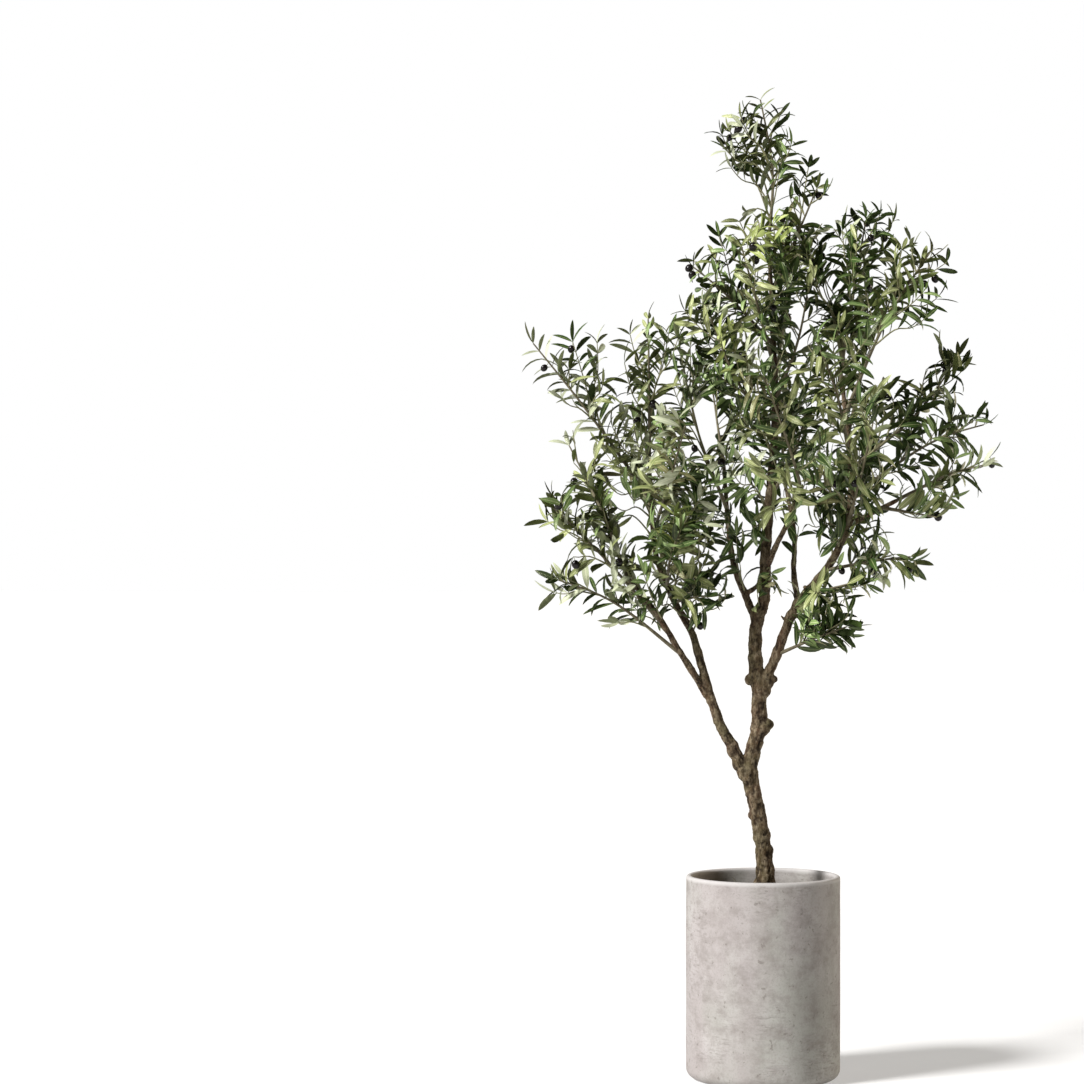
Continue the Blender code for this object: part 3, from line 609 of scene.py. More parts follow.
def wood_core(courses, radii, dice):
    """Every limb, growth, knot and nodule as overlapping closed shapes in one mesh."""
    limbs = Tubes(20)
    for name in LIMBS:
        limbs.add(courses[name], radii[name])
    for points, foot, tip in GROWTHS:
        course = smooth_course(points, LIMB_STEP)
        limbs.add(course, taper(course, foot, tip))
    core = limbs.piece("trunk_and_boughs")
    shape = bmesh.new()
    shape.from_mesh(core.data)
    for name in list(LIMBS)[1:]:
        ball(shape, courses[name][0], radii[name][0] * FORK_SWELL)
        ball(shape, courses[name][1], radii[name][0] * FORK_SWELL)
    for name, knots in KNOTS.items():
        for height, bearing, out, radius, long in knots:
            middle = min(courses[name], key=lambda p: abs(p.z - height))
            turn = math.radians(bearing)
            where = (middle.x + out * math.cos(turn), middle.y + out * math.sin(turn), height)
            ball(shape, where, radius, long)
    for number in range(NODULE_COUNT):
        name = dice.choice(("trunk", "trunk", "trunk", "leader", "bough_left", "bough_right"))
        i = dice.randrange(4, int(len(courses[name]) * (0.95 if name == "trunk" else 0.5)))
        turn = dice.uniform(0, 2 * math.pi)
        size = dice.uniform(*NODULE_RADII) * min(1.0, radii[name][i] / 0.012)
        out = radii[name][i] - size * 0.25
        ball(shape, courses[name][i] + Vector((math.cos(turn), math.sin(turn), 0)) * out, size)
    shape.to_mesh(core.data)
    shape.free()
    return core


def weave_skin(core):
    """One skin round the overlapping shapes, with its joints drawn smooth."""
    skin = core.modifiers.new("skin", "REMESH")
    skin.mode = "VOXEL"
    skin.voxel_size = BARK_VOXEL
    ease = core.modifiers.new("ease", "SMOOTH")
    ease.factor = 0.5
    ease.iterations = 9
    return made_mesh(core)


def frames_along(course):
    """A side and an across direction at each point, turning as little as they can."""
    side = (course[1] - course[0]).orthogonal().normalized()
    frames = []
    for i in range(len(course)):
        along = (course[min(i + 1, len(course) - 1)] - course[max(i - 1, 0)]).normalized()
        side = (side - along * side.dot(along)).normalized()
        frames.append((side.copy(), along.cross(side)))
    return frames


def carve_bark(skin, courses, radii):
    """Raises ridges that run along each limb and broad lumps, and keeps their height as relief."""
    places = np.array([p for name in LIMBS for p in courses[name]])
    sizes = np.array([r for name in LIMBS for r in radii[name]])
    owner = np.concatenate([[i] * len(courses[name]) for i, name in enumerate(LIMBS)])
    sides = np.array([f for name in LIMBS for f in frames_along(courses[name])])
    reach = np.concatenate([np.arange(len(courses[name])) * LIMB_STEP for name in LIMBS])
    points = points_of(skin.data)
    normals = np.empty(len(points) * 3, np.float32)
    skin.data.vertices.foreach_get("normal", normals)
    normals = normals.reshape(-1, 3)
    heights = np.zeros(len(points), np.float32)
    for start in range(0, len(points), 2000):
        some = points[start : start + 2000]
        gaps = np.linalg.norm(some[:, None] - places[None], axis=2) - sizes
        closest = gaps.argmin(1)
        best = gaps[np.arange(len(some)), closest]
        for k, point in enumerate(some):
            i = closest[k]
            others = gaps[k][owner != owner[i]].min()
            settle = min(1.0, max(0.0, (others - best[k]) / FORK_EASE))
            spoke = Vector(point - places[i]).normalized()
            side, across = sides[i]
            lap = Vector((spoke.dot(side), spoke.dot(across), 0)) * RIDGE_ROUND
            lap.z = reach[i] * RIDGE_ALONG + owner[i] * 7.3
            ridge = noise.fractal(lap, 0.75, 2.1, 4) * settle
            fleck = noise.fractal(Vector(point) * FLECK_SCALE, 0.8, 2.0, 2)
            lump = noise.noise(Vector(point) * LUMP_SCALE)
            high = min(BARK_RIDGED, sizes[i] * RIDGE_SHARE)
            broad = min(BARK_LUMPED, sizes[i] * LUMP_SHARE)
            if point[2] > FILL_LEVEL + 0.002:
                raised = high * (ridge + FLECK_SHARE * fleck) + broad * lump
                points[start + k] += normals[start + k] * raised
            heights[start + k] = 0.5 + 0.40 * ridge + 0.22 * fleck + 0.34 * lump
    skin.data.vertices.foreach_set("co", points.ravel())
    skin.data.attributes.new("relief", "FLOAT", "POINT").data.foreach_set("value", heights)


limb_courses = {name: smooth_course(LIMBS[name][0], LIMB_STEP) for name in LIMBS}
limb_sizes = {name: limb_radii(name, limb_courses[name]) for name in LIMBS}
wood = weave_skin(wood_core(limb_courses, limb_sizes, random.Random(12)))
carve_bark(wood, limb_courses, limb_sizes)
smooth(wood, old_bark(), 180)
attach(wood, "root")
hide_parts(*LIMBS)


# Stems and twigs ----------------------------------------------------------------------------------
# Plastic-coated wires that grow on from the boughs: a woody stem to each mass of foliage, with long
# shoots out to the edge of the crown and shorter twigs between, at the golden angle round the stem.

# Foliage: (limb, share of the way along it, furthest leaf tip, bow of the stem's middle, spread to
# each side, distance between its twigs).
FOLIAGE = {
    "top": ("leader", 1.0, (-0.012, 0.000, 1.969), (0.018, 0.004, 0.0), 0.120, 0.072),
    "top_right": ("leader", 0.90, (0.120, -0.020, 1.788), (0.0, -0.006, 0.0), 0.090, 0.050),
    "upper_left": ("leader", 0.78, (-0.163, -0.050, 1.621), (0.0, -0.01, 0.010), 0.100, 0.036),
    "upper_front": ("leader", 0.72, (-0.050, -0.170, 1.660), (0.0, -0.030, 0.0), 0.150, 0.028),
    "upper_back": ("leader", 0.69, (0.060, 0.190, 1.640), (0.0, 0.030, -0.010), 0.150, 0.028),
    "upper_middle": ("leader", 0.64, (0.095, -0.050, 1.600), (0.01, -0.01, -0.01), 0.120, 0.028),
    "upper_right": ("bough_right", 1.0, (0.207, 0.000, 1.722), (-0.004, 0.0, 0.0), 0.130, 0.028),
    "right_shoulder": ("bough_right", 0.91, (0.346, -0.050, 1.655), (-0.01, -0.02, 0.015), 0.130, 0.028),
    "right_crest": ("bough_right", 0.84, (0.215, 0.170, 1.590), (0.01, 0.02, -0.01), 0.130, 0.028),
    "centre_right": ("bough_right", 0.78, (0.093, -0.230, 1.463), (0.01, -0.03, 0.0), 0.150, 0.028),
    "centre_front": ("bough_centre_front", 1.0, (-0.010, -0.310, 1.402), (0.01, -0.03, 0.0), 0.150, 0.028),
    "centre_back": ("bough_right_inner", 1.0, (0.030, 0.310, 1.457), (0.0, 0.03, 0.0), 0.150, 0.028),
    "back_left": ("bough_centre_left", 1.0, (-0.110, 0.310, 1.416), (0.0, 0.03, 0.0), 0.150, 0.028),
    "centre_left": ("leader", 0.55, (-0.115, -0.090, 1.530), (-0.01, -0.02, -0.01), 0.140, 0.028),
    "centre_middle": ("leader", 0.40, (0.095, 0.010, 1.360), (0.01, -0.01, -0.01), 0.130, 0.028),
    "inner_left": ("bough_centre_left", 0.78, (-0.160, 0.040, 1.410), (-0.01, -0.01, 0.0), 0.110, 0.028),
    "left_top": ("bough_left_inner", 1.0, (-0.229, 0.030, 1.539), (0.0, 0.0, 0.0), 0.100, 0.085),
    "left_reach": ("bough_left_inner", 0.90, (-0.474, -0.060, 1.478), (0.0, -0.02, 0.01), 0.080, 0.150),
    "left_front": ("bough_left_inner", 0.72, (-0.140, -0.210, 1.312), (0.0, -0.03, -0.01), 0.140, 0.028),
    "left_back": ("bough_left_inner", 0.76, (-0.270, 0.250, 1.330), (0.0, 0.03, -0.01), 0.150, 0.028),
    "left_lap": ("bough_left_inner", 0.42, (-0.150, -0.130, 1.110), (-0.01, -0.02, -0.01), 0.150, 0.028),
    "left_side": ("bough_left_outer", 1.0, (-0.395, -0.080, 1.279), (0.005, -0.02, 0.0), 0.110, 0.050),
    "left_arm": ("bough_left_outer", 0.60, (-0.430, -0.170, 1.150), (0.0, -0.01, 0.01), 0.100, 0.036),
    "left_bottom": ("bough_left_outer", 0.36, (-0.432, -0.100, 0.996), (0.0, 0.0, 0.026), 0.070, 0.075),
    "left_under": ("bough_left_inner", 0.32, (-0.080, -0.090, 0.946), (0.01, -0.02, 0.01), 0.110, 0.028),
    "right_up": ("bough_right", 0.66, (0.467, 0.020, 1.300), (0.01, 0.0, 0.030), 0.110, 0.045),
    "right_high": ("bough_right", 0.74, (0.406, 0.080, 1.456), (0.02, 0.02, -0.01), 0.110, 0.045),
    "right_tip": ("bough_right_far", 1.0, (0.477, -0.080, 1.218), (0.0, 0.0, 0.014), 0.080, 0.050),
    "right_low": ("bough_right_far", 0.70, (0.361, -0.180, 1.101), (0.0, -0.01, 0.0), 0.090, 0.036),
    "right_under": ("bough_right", 0.42, (0.318, -0.120, 1.034), (0.0, -0.01, 0.004), 0.080, 0.045),
    "right_bottom": ("bough_right", 0.12, (0.197, -0.070, 0.905), (0.0, -0.02, 0.004), 0.085, 0.040),
    "right_back": ("bough_right", 0.52, (0.230, 0.230, 1.300), (0.0, 0.03, -0.01), 0.140, 0.028),
    "right_front": ("bough_right", 0.57, (0.215, -0.260, 1.320), (0.0, -0.03, -0.01), 0.140, 0.028),
    "right_lap": ("bough_right", 0.32, (0.190, -0.130, 0.985), (0.0, -0.01, 0.0), 0.110, 0.028),
}
# Long shoots that shape and fill the crown, on a mass's stem or on a limb: share of the way along
# it, and the x, y and z of its furthest leaf tip.
SHOOTS = {
    "top": (
        (0.70, 0.041, 0.02, 1.936), (0.50, -0.056, -0.02, 1.927), (0.22, -0.095, 0.01, 1.897),
        (0.42, 0.065, -0.02, 1.872), (0.30, -0.051, 0.06, 1.884), (0.45, -0.093, -0.02, 1.854),
        (0.30, -0.082, 0.00, 1.827), (0.45, -0.082, 0.02, 1.903), (0.55, -0.056, -0.03, 1.908),
        (0.25, -0.060, -0.02, 1.723),
    ),
    "top_right": (
        (0.50, 0.095, 0.01, 1.834), (0.25, 0.151, -0.03, 1.740), (0.35, 0.063, 0.00, 1.648),
        (0.30, 0.092, -0.03, 1.635), (0.60, 0.073, 0.01, 1.794), (0.30, 0.013, -0.05, 1.681),
        (0.25, 0.035, -0.03, 1.659), (0.20, 0.001, -0.06, 1.644), (0.35, 0.053, 0.00, 1.678),
        (0.20, 0.017, -0.03, 1.718), (0.25, 0.043, 0.02, 1.710), (0.15, -0.007, 0.00, 1.708),
        (0.30, 0.039, -0.02, 1.755), (0.35, 0.053, 0.03, 1.739), (0.12, -0.060, -0.03, 1.722),
    ),
    "upper_left": (
        (0.55, -0.105, -0.02, 1.648), (0.35, -0.097, 0.02, 1.698), (0.45, -0.152, -0.06, 1.540),
        (0.50, -0.146, 0.02, 1.584), (0.30, -0.121, -0.04, 1.536), (0.60, -0.144, -0.05, 1.498),
        (0.40, -0.119, -0.03, 1.472), (0.30, -0.055, -0.12, 1.475),
    ),
    "upper_right": (
        (0.45, 0.153, -0.03, 1.706), (0.55, 0.268, 0.02, 1.722), (0.20, 0.099, 0.03, 1.701),
        (0.70, 0.156, 0.00, 1.714), (0.65, 0.230, -0.04, 1.690), (0.50, 0.186, -0.06, 1.682),
        (0.15, 0.084, -0.05, 1.653), (0.20, 0.102, -0.02, 1.632), (0.12, 0.073, 0.02, 1.688),
        (0.12, 0.084, -0.02, 1.668), (0.16, 0.109, 0.01, 1.653), (0.12, 0.072, -0.05, 1.677),
    ),
    "right_shoulder": (
        (0.60, 0.275, 0.0, 1.664), (0.55, 0.365, -0.03, 1.555), (0.40, 0.338, -0.08, 1.513),
        (0.30, 0.296, 0.02, 1.501), (0.70, 0.325, -0.04, 1.634), (0.80, 0.344, -0.05, 1.598),
        (0.45, 0.280, -0.02, 1.666),
    ),
    "right_high": (
        (0.50, 0.335, 0.04, 1.444), (0.30, 0.249, 0.05, 1.461), (0.85, 0.416, 0.06, 1.435),
        (0.60, 0.396, 0.03, 1.374), (0.35, 0.237, 0.00, 1.307), (0.20, 0.241, 0.04, 1.438),
        (0.15, 0.224, 0.02, 1.399),
    ),
    "right_up": (
        (0.65, 0.409, 0.05, 1.345), (0.80, 0.441, 0.02, 1.334), (0.70, 0.434, -0.02, 1.263),
        (0.35, 0.314, 0.06, 1.374), (0.30, 0.230, -0.04, 1.201), (0.40, 0.252, 0.03, 1.242),
        (0.45, 0.279, -0.05, 1.201), (0.50, 0.282, 0.02, 1.262), (0.60, 0.319, -0.03, 1.225),
        (0.75, 0.336, 0.03, 1.442), (0.85, 0.462, -0.02, 1.302), (0.60, 0.441, 0.02, 1.320),
    ),
    "right_tip": (
        (0.75, 0.467, -0.03, 1.245), (0.60, 0.433, -0.10, 1.203), (0.40, 0.405, -0.05, 1.175),
        (0.30, 0.392, -0.09, 1.139),
    ),
    "right_low": (
        (0.70, 0.367, -0.12, 1.102), (0.50, 0.305, -0.20, 1.096), (0.30, 0.205, -0.08, 1.141),
        (0.40, 0.266, -0.12, 1.141), (0.60, 0.316, -0.10, 1.161), (0.20, 0.239, -0.06, 1.142),
        (0.30, 0.257, -0.10, 1.170), (0.10, 0.246, -0.04, 1.166), (0.25, 0.274, -0.06, 1.179),
        (0.45, 0.283, -0.14, 1.141), (0.15, 0.260, -0.08, 1.134),
    ),
    "right_under": (
        (0.75, 0.322, -0.08, 1.020), (0.60, 0.296, -0.14, 1.059), (0.45, 0.254, -0.13, 0.987),
        (0.30, 0.216, -0.10, 0.971), (0.35, 0.236, -0.08, 1.102), (0.30, 0.216, -0.05, 1.126),
        (0.45, 0.228, -0.09, 1.063), (0.55, 0.259, -0.10, 1.092),
    ),
    "right_bottom": (
        (0.70, 0.199, -0.05, 0.884), (0.60, 0.189, -0.09, 0.938), (0.45, 0.154, -0.08, 0.860),
        (0.35, 0.127, -0.04, 0.840), (0.80, 0.186, -0.06, 0.949), (0.60, 0.171, -0.04, 0.974),
        (0.50, 0.150, -0.08, 0.995), (0.35, 0.084, -0.06, 0.922), (0.40, 0.097, -0.09, 0.946),
        (0.20, 0.068, -0.05, 0.853), (0.50, 0.116, -0.02, 0.901),
    ),
    "left_reach": (
        (0.85, -0.463, -0.07, 1.438), (0.50, -0.412, -0.09, 1.360), (0.40, -0.384, -0.05, 1.486),
        (0.46, -0.330, 0.00, 1.487), (0.52, -0.308, -0.07, 1.400), (0.70, -0.410, -0.02, 1.435),
    ),
    "left_top": (
        (0.50, -0.272, 0.04, 1.506), (0.20, -0.282, 0.00, 1.448), (0.30, -0.190, 0.05, 1.507),
        (0.35, -0.182, 0.03, 1.507), (0.45, -0.158, 0.02, 1.497),
    ),
    "left_side": (
        (0.70, -0.395, -0.10, 1.260), (0.30, -0.427, -0.08, 1.165), (0.60, -0.399, -0.04, 1.236),
        (0.25, -0.359, -0.08, 1.241), (0.20, -0.337, -0.05, 1.228),
    ),
    "left_arm": (
        (0.65, -0.443, -0.14, 1.121), (0.50, -0.414, -0.16, 1.055),
    ),
    "left_bottom": (
        (0.70, -0.436, -0.09, 0.969), (0.75, -0.410, -0.13, 1.013), (0.30, -0.312, -0.08, 0.914),
        (0.22, -0.287, -0.11, 0.892),
    ),
    "left_under": (
        (0.80, -0.069, -0.06, 0.945), (0.60, -0.096, -0.10, 0.919), (0.40, -0.130, -0.06, 0.902),
    ),
    "leader": (
        (0.36, -0.08, -0.12, 1.234), (0.30, -0.032, -0.1, 1.118), (0.34, 0.025, -0.13, 1.145),
        (0.42, -0.125, -0.05, 1.276), (0.44, 0.052, -0.1, 1.229), (0.50, -0.055, -0.12, 1.335),
        (0.30, -0.007, 0.1, 1.053), (0.42, 0.024, 0.16, 1.267), (0.38, -0.072, 0.15, 1.189),
        (0.22, 0.025, -0.06, 1.004), (0.20, 0.039, -0.05, 0.978), (0.14, -0.022, -0.04, 1.045),
        (0.12, -0.042, -0.06, 1.022),
    ),
    "bough_left_inner": (
        (0.50, -0.144, -0.07, 1.132), (0.56, -0.093, -0.02, 1.099), (0.36, -0.12, -0.09, 1.012),
        (0.42, -0.072, -0.04, 0.996), (0.72, -0.159, -0.09, 1.196), (0.30, -0.172, -0.04, 0.945),
        (0.62, -0.214, -0.02, 1.103), (0.66, -0.115, 0.1, 1.144), (0.50, -0.198, 0.1, 1.023),
        (0.22, -0.225, -0.1, 0.962), (0.48, -0.081, -0.05, 1.201), (0.42, -0.073, -0.06, 1.142),
        (0.36, -0.095, -0.06, 1.083), (0.30, -0.066, -0.05, 1.053), (0.20, -0.081, -0.05, 0.994),
        (0.12, -0.056, -0.03, 0.974), (0.24, -0.124, -0.09, 1.004), (0.16, -0.108, -0.07, 0.945),
        (0.55, -0.102, 0.00, 1.238), (0.90, -0.297, -0.06, 1.240), (0.85, -0.321, -0.05, 1.185),
        (0.80, -0.276, -0.10, 1.180), (0.80, -0.310, -0.04, 1.142), (0.70, -0.335, -0.08, 1.151),
        (0.95, -0.309, -0.05, 1.315), (0.90, -0.285, -0.02, 1.330),
    ),
    "bough_left_outer": (
        (0.80, -0.292, -0.16, 1.063), (0.62, -0.238, -0.16, 1.024), (0.92, -0.323, -0.1, 1.141),
        (0.50, -0.282, -0.05, 0.965),
    ),
    "bough_right": (
        (0.60, 0.094, -0.14, 1.203), (0.54, 0.065, -0.13, 1.11), (0.66, 0.144, -0.16, 1.233),
        (0.50, 0.125, -0.15, 1.075), (0.58, 0.211, -0.14, 1.125), (0.44, 0.161, -0.1, 1.02),
        (0.36, 0.111, -0.1, 0.965), (0.70, 0.072, -0.1, 1.258), (0.64, 0.21, 0.08, 1.204),
        (0.60, 0.104, 0.1, 1.144), (0.52, 0.19, 0.06, 1.063), (0.50, 0.095, -0.12, 1.147),
        (0.46, 0.091, -0.10, 1.172), (0.28, 0.095, -0.08, 1.020), (0.24, 0.084, -0.06, 0.990),
    ),
    "bough_right_inner": (
        (0.70, 0.074, 0.14, 1.104), (0.85, 0.003, 0.2, 1.155), (0.55, 0.084, 0.12, 1.023),
        (0.30, 0.073, 0.00, 1.123), (0.40, 0.103, 0.02, 1.083), (0.35, 0.064, 0.08, 1.083),
    ),
    "bough_centre_left": (
        (0.80, -0.104, 0.12, 1.205), (0.35, -0.042, 0.02, 1.023), (0.70, -0.084, 0.18, 1.104),
        (0.25, -0.056, -0.03, 1.103), (0.20, -0.050, -0.03, 1.047), (0.45, -0.070, 0.02, 1.143),
        (0.50, -0.087, 0.06, 1.103),
    ),
    "bough_centre_front": (
        (0.85, 0.051, -0.22, 1.197), (0.90, -0.016, -0.24, 1.225), (0.75, 0.071, -0.18, 1.14),
        (0.80, 0.090, -0.16, 1.198), (0.60, 0.071, -0.14, 1.160), (0.50, 0.101, -0.12, 1.141),
    ),
    "centre_left": (
        (0.60, -0.145, -0.02, 1.537), (0.50, -0.124, -0.06, 1.476), (0.40, -0.141, -0.03, 1.434),
        (0.30, -0.112, -0.08, 1.376), (0.70, -0.093, -0.08, 1.541), (0.35, -0.069, -0.10, 1.496),
        (0.30, -0.036, -0.12, 1.456),
    ),
    "inner_left": (
        (0.60, -0.174, 0.02, 1.497), (0.50, -0.181, 0.00, 1.436), (0.45, -0.157, -0.02, 1.369),
        (0.30, -0.190, 0.03, 1.398), (0.80, -0.146, 0.04, 1.482), (0.25, -0.188, -0.02, 1.340),
        (0.20, -0.172, 0.02, 1.332),
    ),
    "left_lap": (
        (0.60, -0.114, -0.08, 1.181), (0.50, -0.123, -0.12, 1.121), (0.70, -0.143, -0.10, 1.141),
        (0.40, -0.131, -0.10, 1.063), (0.80, -0.100, -0.12, 1.199), (0.60, -0.170, -0.12, 1.145),
        (0.50, -0.152, -0.13, 1.110),
    ),
    "right_lap": (
        (0.50, 0.150, -0.10, 1.024), (0.60, 0.169, -0.12, 1.005), (0.40, 0.126, -0.10, 0.965),
    ),
    "left_front": (
        (0.60, -0.142, -0.15, 1.228), (0.50, -0.120, -0.10, 1.211), (0.40, -0.143, -0.12, 1.258),
        (0.35, -0.125, -0.14, 1.232),
    ),
}
# Where the tree is looked at from.
CAMERA_PLACE = (0.0, -6.3, 1.059)
# Openings through the crown and bays in its edge, where nothing grows, as they show from there: the
# middle's x and z, and half the width and height.
OPENINGS = (
    (-0.064, 1.740, 0.024, 0.038), (-0.026, 1.752, 0.014, 0.036), (0.040, 1.750, 0.012, 0.030),
    (0.310, 1.430, 0.040, 0.030), (0.257, 1.452, 0.032, 0.040), (-0.125, 1.271, 0.030, 0.055),
    (-0.350, 1.240, 0.018, 0.020), (-0.264, 1.113, 0.016, 0.022), (-0.026, 0.985, 0.014, 0.045),
    (0.075, 1.020, 0.026, 0.060), (0.410, 1.380, 0.020, 0.024), (-0.379, 1.317, 0.020, 0.020),
    (0.079, 1.721, 0.012, 0.018), (-0.070, 1.543, 0.012, 0.016), (-0.421, 1.293, 0.028, 0.028),
    (-0.157, 1.595, 0.020, 0.016), (-0.110, 1.331, 0.020, 0.016), (-0.082, 1.293, 0.012, 0.022),
    (-0.274, 1.142, 0.022, 0.016), (-0.403, 1.198, 0.024, 0.016), (-0.254, 0.887, 0.018, 0.014),
    (-0.098, 0.912, 0.016, 0.018), (-0.050, 0.984, 0.016, 0.024), (0.122, 1.551, 0.016, 0.024),
    (0.075, 1.507, 0.016, 0.018), (0.384, 1.622, 0.020, 0.028), (0.402, 1.333, 0.018, 0.014),
    (0.303, 1.087, 0.026, 0.018), (0.440, 1.180, 0.026, 0.020), (0.249, 1.236, 0.012, 0.014),
    (0.148, 0.988, 0.016, 0.016), (0.035, 1.162, 0.018, 0.012), (0.079, 1.111, 0.014, 0.020),
    (-0.298, 1.408, 0.012, 0.016), (-0.407, 1.039, 0.032, 0.016), (-0.328, 1.023, 0.016, 0.012),
    (-0.215, 0.918, 0.014, 0.016), (-0.173, 1.341, 0.016, 0.022), (0.200, 0.928, 0.024, 0.018),
    (0.235, 1.396, 0.018, 0.014), (0.281, 1.053, 0.028, 0.018), (-0.189, 1.396, 0.018, 0.028),
    (-0.149, 1.658, 0.024, 0.016), (0.097, 1.710, 0.022, 0.016), (0.257, 1.099, 0.018, 0.018),
    (0.366, 1.694, 0.048, 0.044), (0.128, 1.714, 0.016, 0.030), (0.075, 1.464, 0.018, 0.022),
    (0.420, 1.275, 0.040, 0.016), (0.380, 1.081, 0.052, 0.040), (0.103, 0.797, 0.056, 0.040),
    (-0.060, 0.904, 0.018, 0.044), (-0.397, 1.226, 0.020, 0.024), (-0.403, 0.845, 0.091, 0.079),
    (-0.274, 0.809, 0.071, 0.067), (-0.250, 1.103, 0.020, 0.036), (-0.358, 1.021, 0.016, 0.012),
    (-0.453, 1.043, 0.036, 0.026), (-0.151, 1.027, 0.014, 0.012), (0.132, 1.559, 0.014, 0.014),
    (0.277, 1.430, 0.059, 0.040), (0.235, 1.299, 0.020, 0.016), (-0.046, 1.773, 0.032, 0.020),
    (-0.110, 1.757, 0.028, 0.028),
)
STEM_TIP = 0.0014
STEM_FOOT = 0.0042
STEM_STEP = 0.012
STEM_BARE = 0.20
STEM_LEAD = 0.03
SHOOT_FOOT = 0.0021
SHOOT_TIP = 0.0009
SHOOT_STEP = 0.010
SHOOT_SAG = 0.14
SHOOT_LEAN = 0.45
TWIG_FOOT = 0.0017
TWIG_TIP = 0.0008
TWIG_PARTS = 6
TWIG_SHORTEST = 0.035
TWIG_LEAN = 50
TWIG_LEAN_VARIES = 10
TWIG_SHRINKS = 0.35
TWIG_VARIES = (0.7, 1.1)
GOLDEN_ANGLE = 137.5
UPWARD = 0.42
LOWEST_TWIG = -0.3
TRIES = 5
LIMB_MARGIN = 0.003
# How far a twig or a leaf may reach past the solids' box.
BOX_MARGIN = 0.012
LEAF_LENGTH = 0.056
# How much of a leaf's length a stem, a shoot and a twig end short of their reach.
STEM_SHORT = 0.64
SHOOT_SHORT = 0.62
TWIG_SHORT = 0.6
# A shoot's course: how far out it still leans, where its middle is, how nearly it heads there at
# once, and how much of its sag the middle has.
SHOOT_LEAVES = 0.33
SHOOT_MIDDLE = 0.62
SHOOT_HEADS = 0.15
MIDDLE_SAG = 0.4
TWIG_LONGEST = 1.15
TWIG_FIRST = 0.3
# The share of each kind of spray, from its foot, that bears no leaf.
STEM_NO_LEAF = 0.30
TWIG_NO_LEAF = 0.22
SHOOT_NO_LEAF = 0.18
LIMB_SHOOT_NO_LEAF = 0.3
# How thick a stem that carries on from a limb's tip starts, for that tip.
ON_TIP = 0.95


def wire_skin(name, dark, mid, pale):
    """A coated wire, mottled between three tones, with fine ribs along it."""
    made, tree, shader, where = new_finish(name, 0.6, 0.25)
    tone = grain(tree, where, 70.0, 5.0, 0.6)
    tree.links.new(ramp(tree, tone, (0.3, dark), (0.52, mid), (0.75, pale)), shader.inputs["Base Color"])
    relief(tree, shader, grain(tree, where, 800.0, 3.0), 0.0004)
    return made


def stem_course(name):
    """A stem's course from its limb to where its last leaf stands, a leaf short of its reach."""
    limb, share, reach, bow = FOLIAGE[name][:4]
    carrier = limb_courses[limb]
    start, along = point_at(carrier, length_of(carrier) * share)
    reach = Vector(reach)
    points = [start, (start + reach) / 2 + Vector(bow), reach]
    if share == 1.0:
        points.insert(1, start + along * STEM_LEAD)
    course = smooth_course(points, STEM_STEP / 3)
    end = length_of(course) - LEAF_LENGTH * STEM_SHORT
    count = round(end / STEM_STEP)
    return [point_at(course, end * i / count)[0] for i in range(count + 1)]


def shoot_course(stem, share, reach):
    """A shoot that leaves its stem at a slant, sags a little, and ends a leaf short of its reach."""
    start, along = point_at(stem, length_of(stem) * share)
    reach = Vector(reach)
    span = (reach - start).length
    slant = ((reach - start).normalized() + along * SHOOT_LEAN).normalized()
    leave = start + slant * span * SHOOT_LEAVES
    middle = start.lerp(reach, SHOOT_MIDDLE) - UP * span * SHOOT_SAG * MIDDLE_SAG
    course = smooth_course([start, leave.lerp(middle, SHOOT_HEADS), middle, reach], SHOOT_STEP / 2)
    end = max(length_of(course) - LEAF_LENGTH * SHOOT_SHORT, TWIG_SHORTEST)
    count = max(3, round(end / SHOOT_STEP))
    return [point_at(course, end * i / count)[0] for i in range(count + 1)]


def twig_course(start, along, outward, length, dice):
    """A twig that leaves its stem at a slant and turns up towards its tip."""
    lean = math.radians(TWIG_LEAN + dice.uniform(-TWIG_LEAN_VARIES, TWIG_LEAN_VARIES))
    heading = along * math.cos(lean) + outward * math.sin(lean)
    course = [start.copy()]
    for i in range(TWIG_PARTS):
        course.append(course[-1] + heading.normalized() * length / TWIG_PARTS)
        heading = heading.normalized() + UP * UPWARD * 2 / TWIG_PARTS * dice.uniform(0.1, 1.0)
    return course


limb_tree = kdtree.KDTree(sum(len(course) for course in limb_courses.values()))
limb_thickness = []
for name in LIMBS:
    for place, radius in zip(limb_courses[name], limb_sizes[name]):
        limb_tree.insert(place, len(limb_thickness))
        limb_thickness.append(radius)
limb_tree.balance()


def clear_of_limbs(points, margin):
    for point in points:
        for place, index, gap in limb_tree.find_n(point, 3):
            if gap - limb_thickness[index] < margin:
                return False
    return True


def in_opening(point):
    """Whether a point shows within an opening to someone who stands in front of the tree."""
    nearer = CAMERA_PLACE[1] / (CAMERA_PLACE[1] - point.y)
    across = point.x * nearer
    up = CAMERA_PLACE[2] + (point.z - CAMERA_PLACE[2]) * nearer
    for x, z, half_width, half_height in OPENINGS:
        if ((across - x) / half_width) ** 2 + ((up - z) / half_height) ** 2 < 1:
            return True
    return False


def in_box(point):
    for low, value, high in zip(cad_box[0], point, cad_box[1]):
        if not low - BOX_MARGIN < value < high + BOX_MARGIN:
            return False
    return True


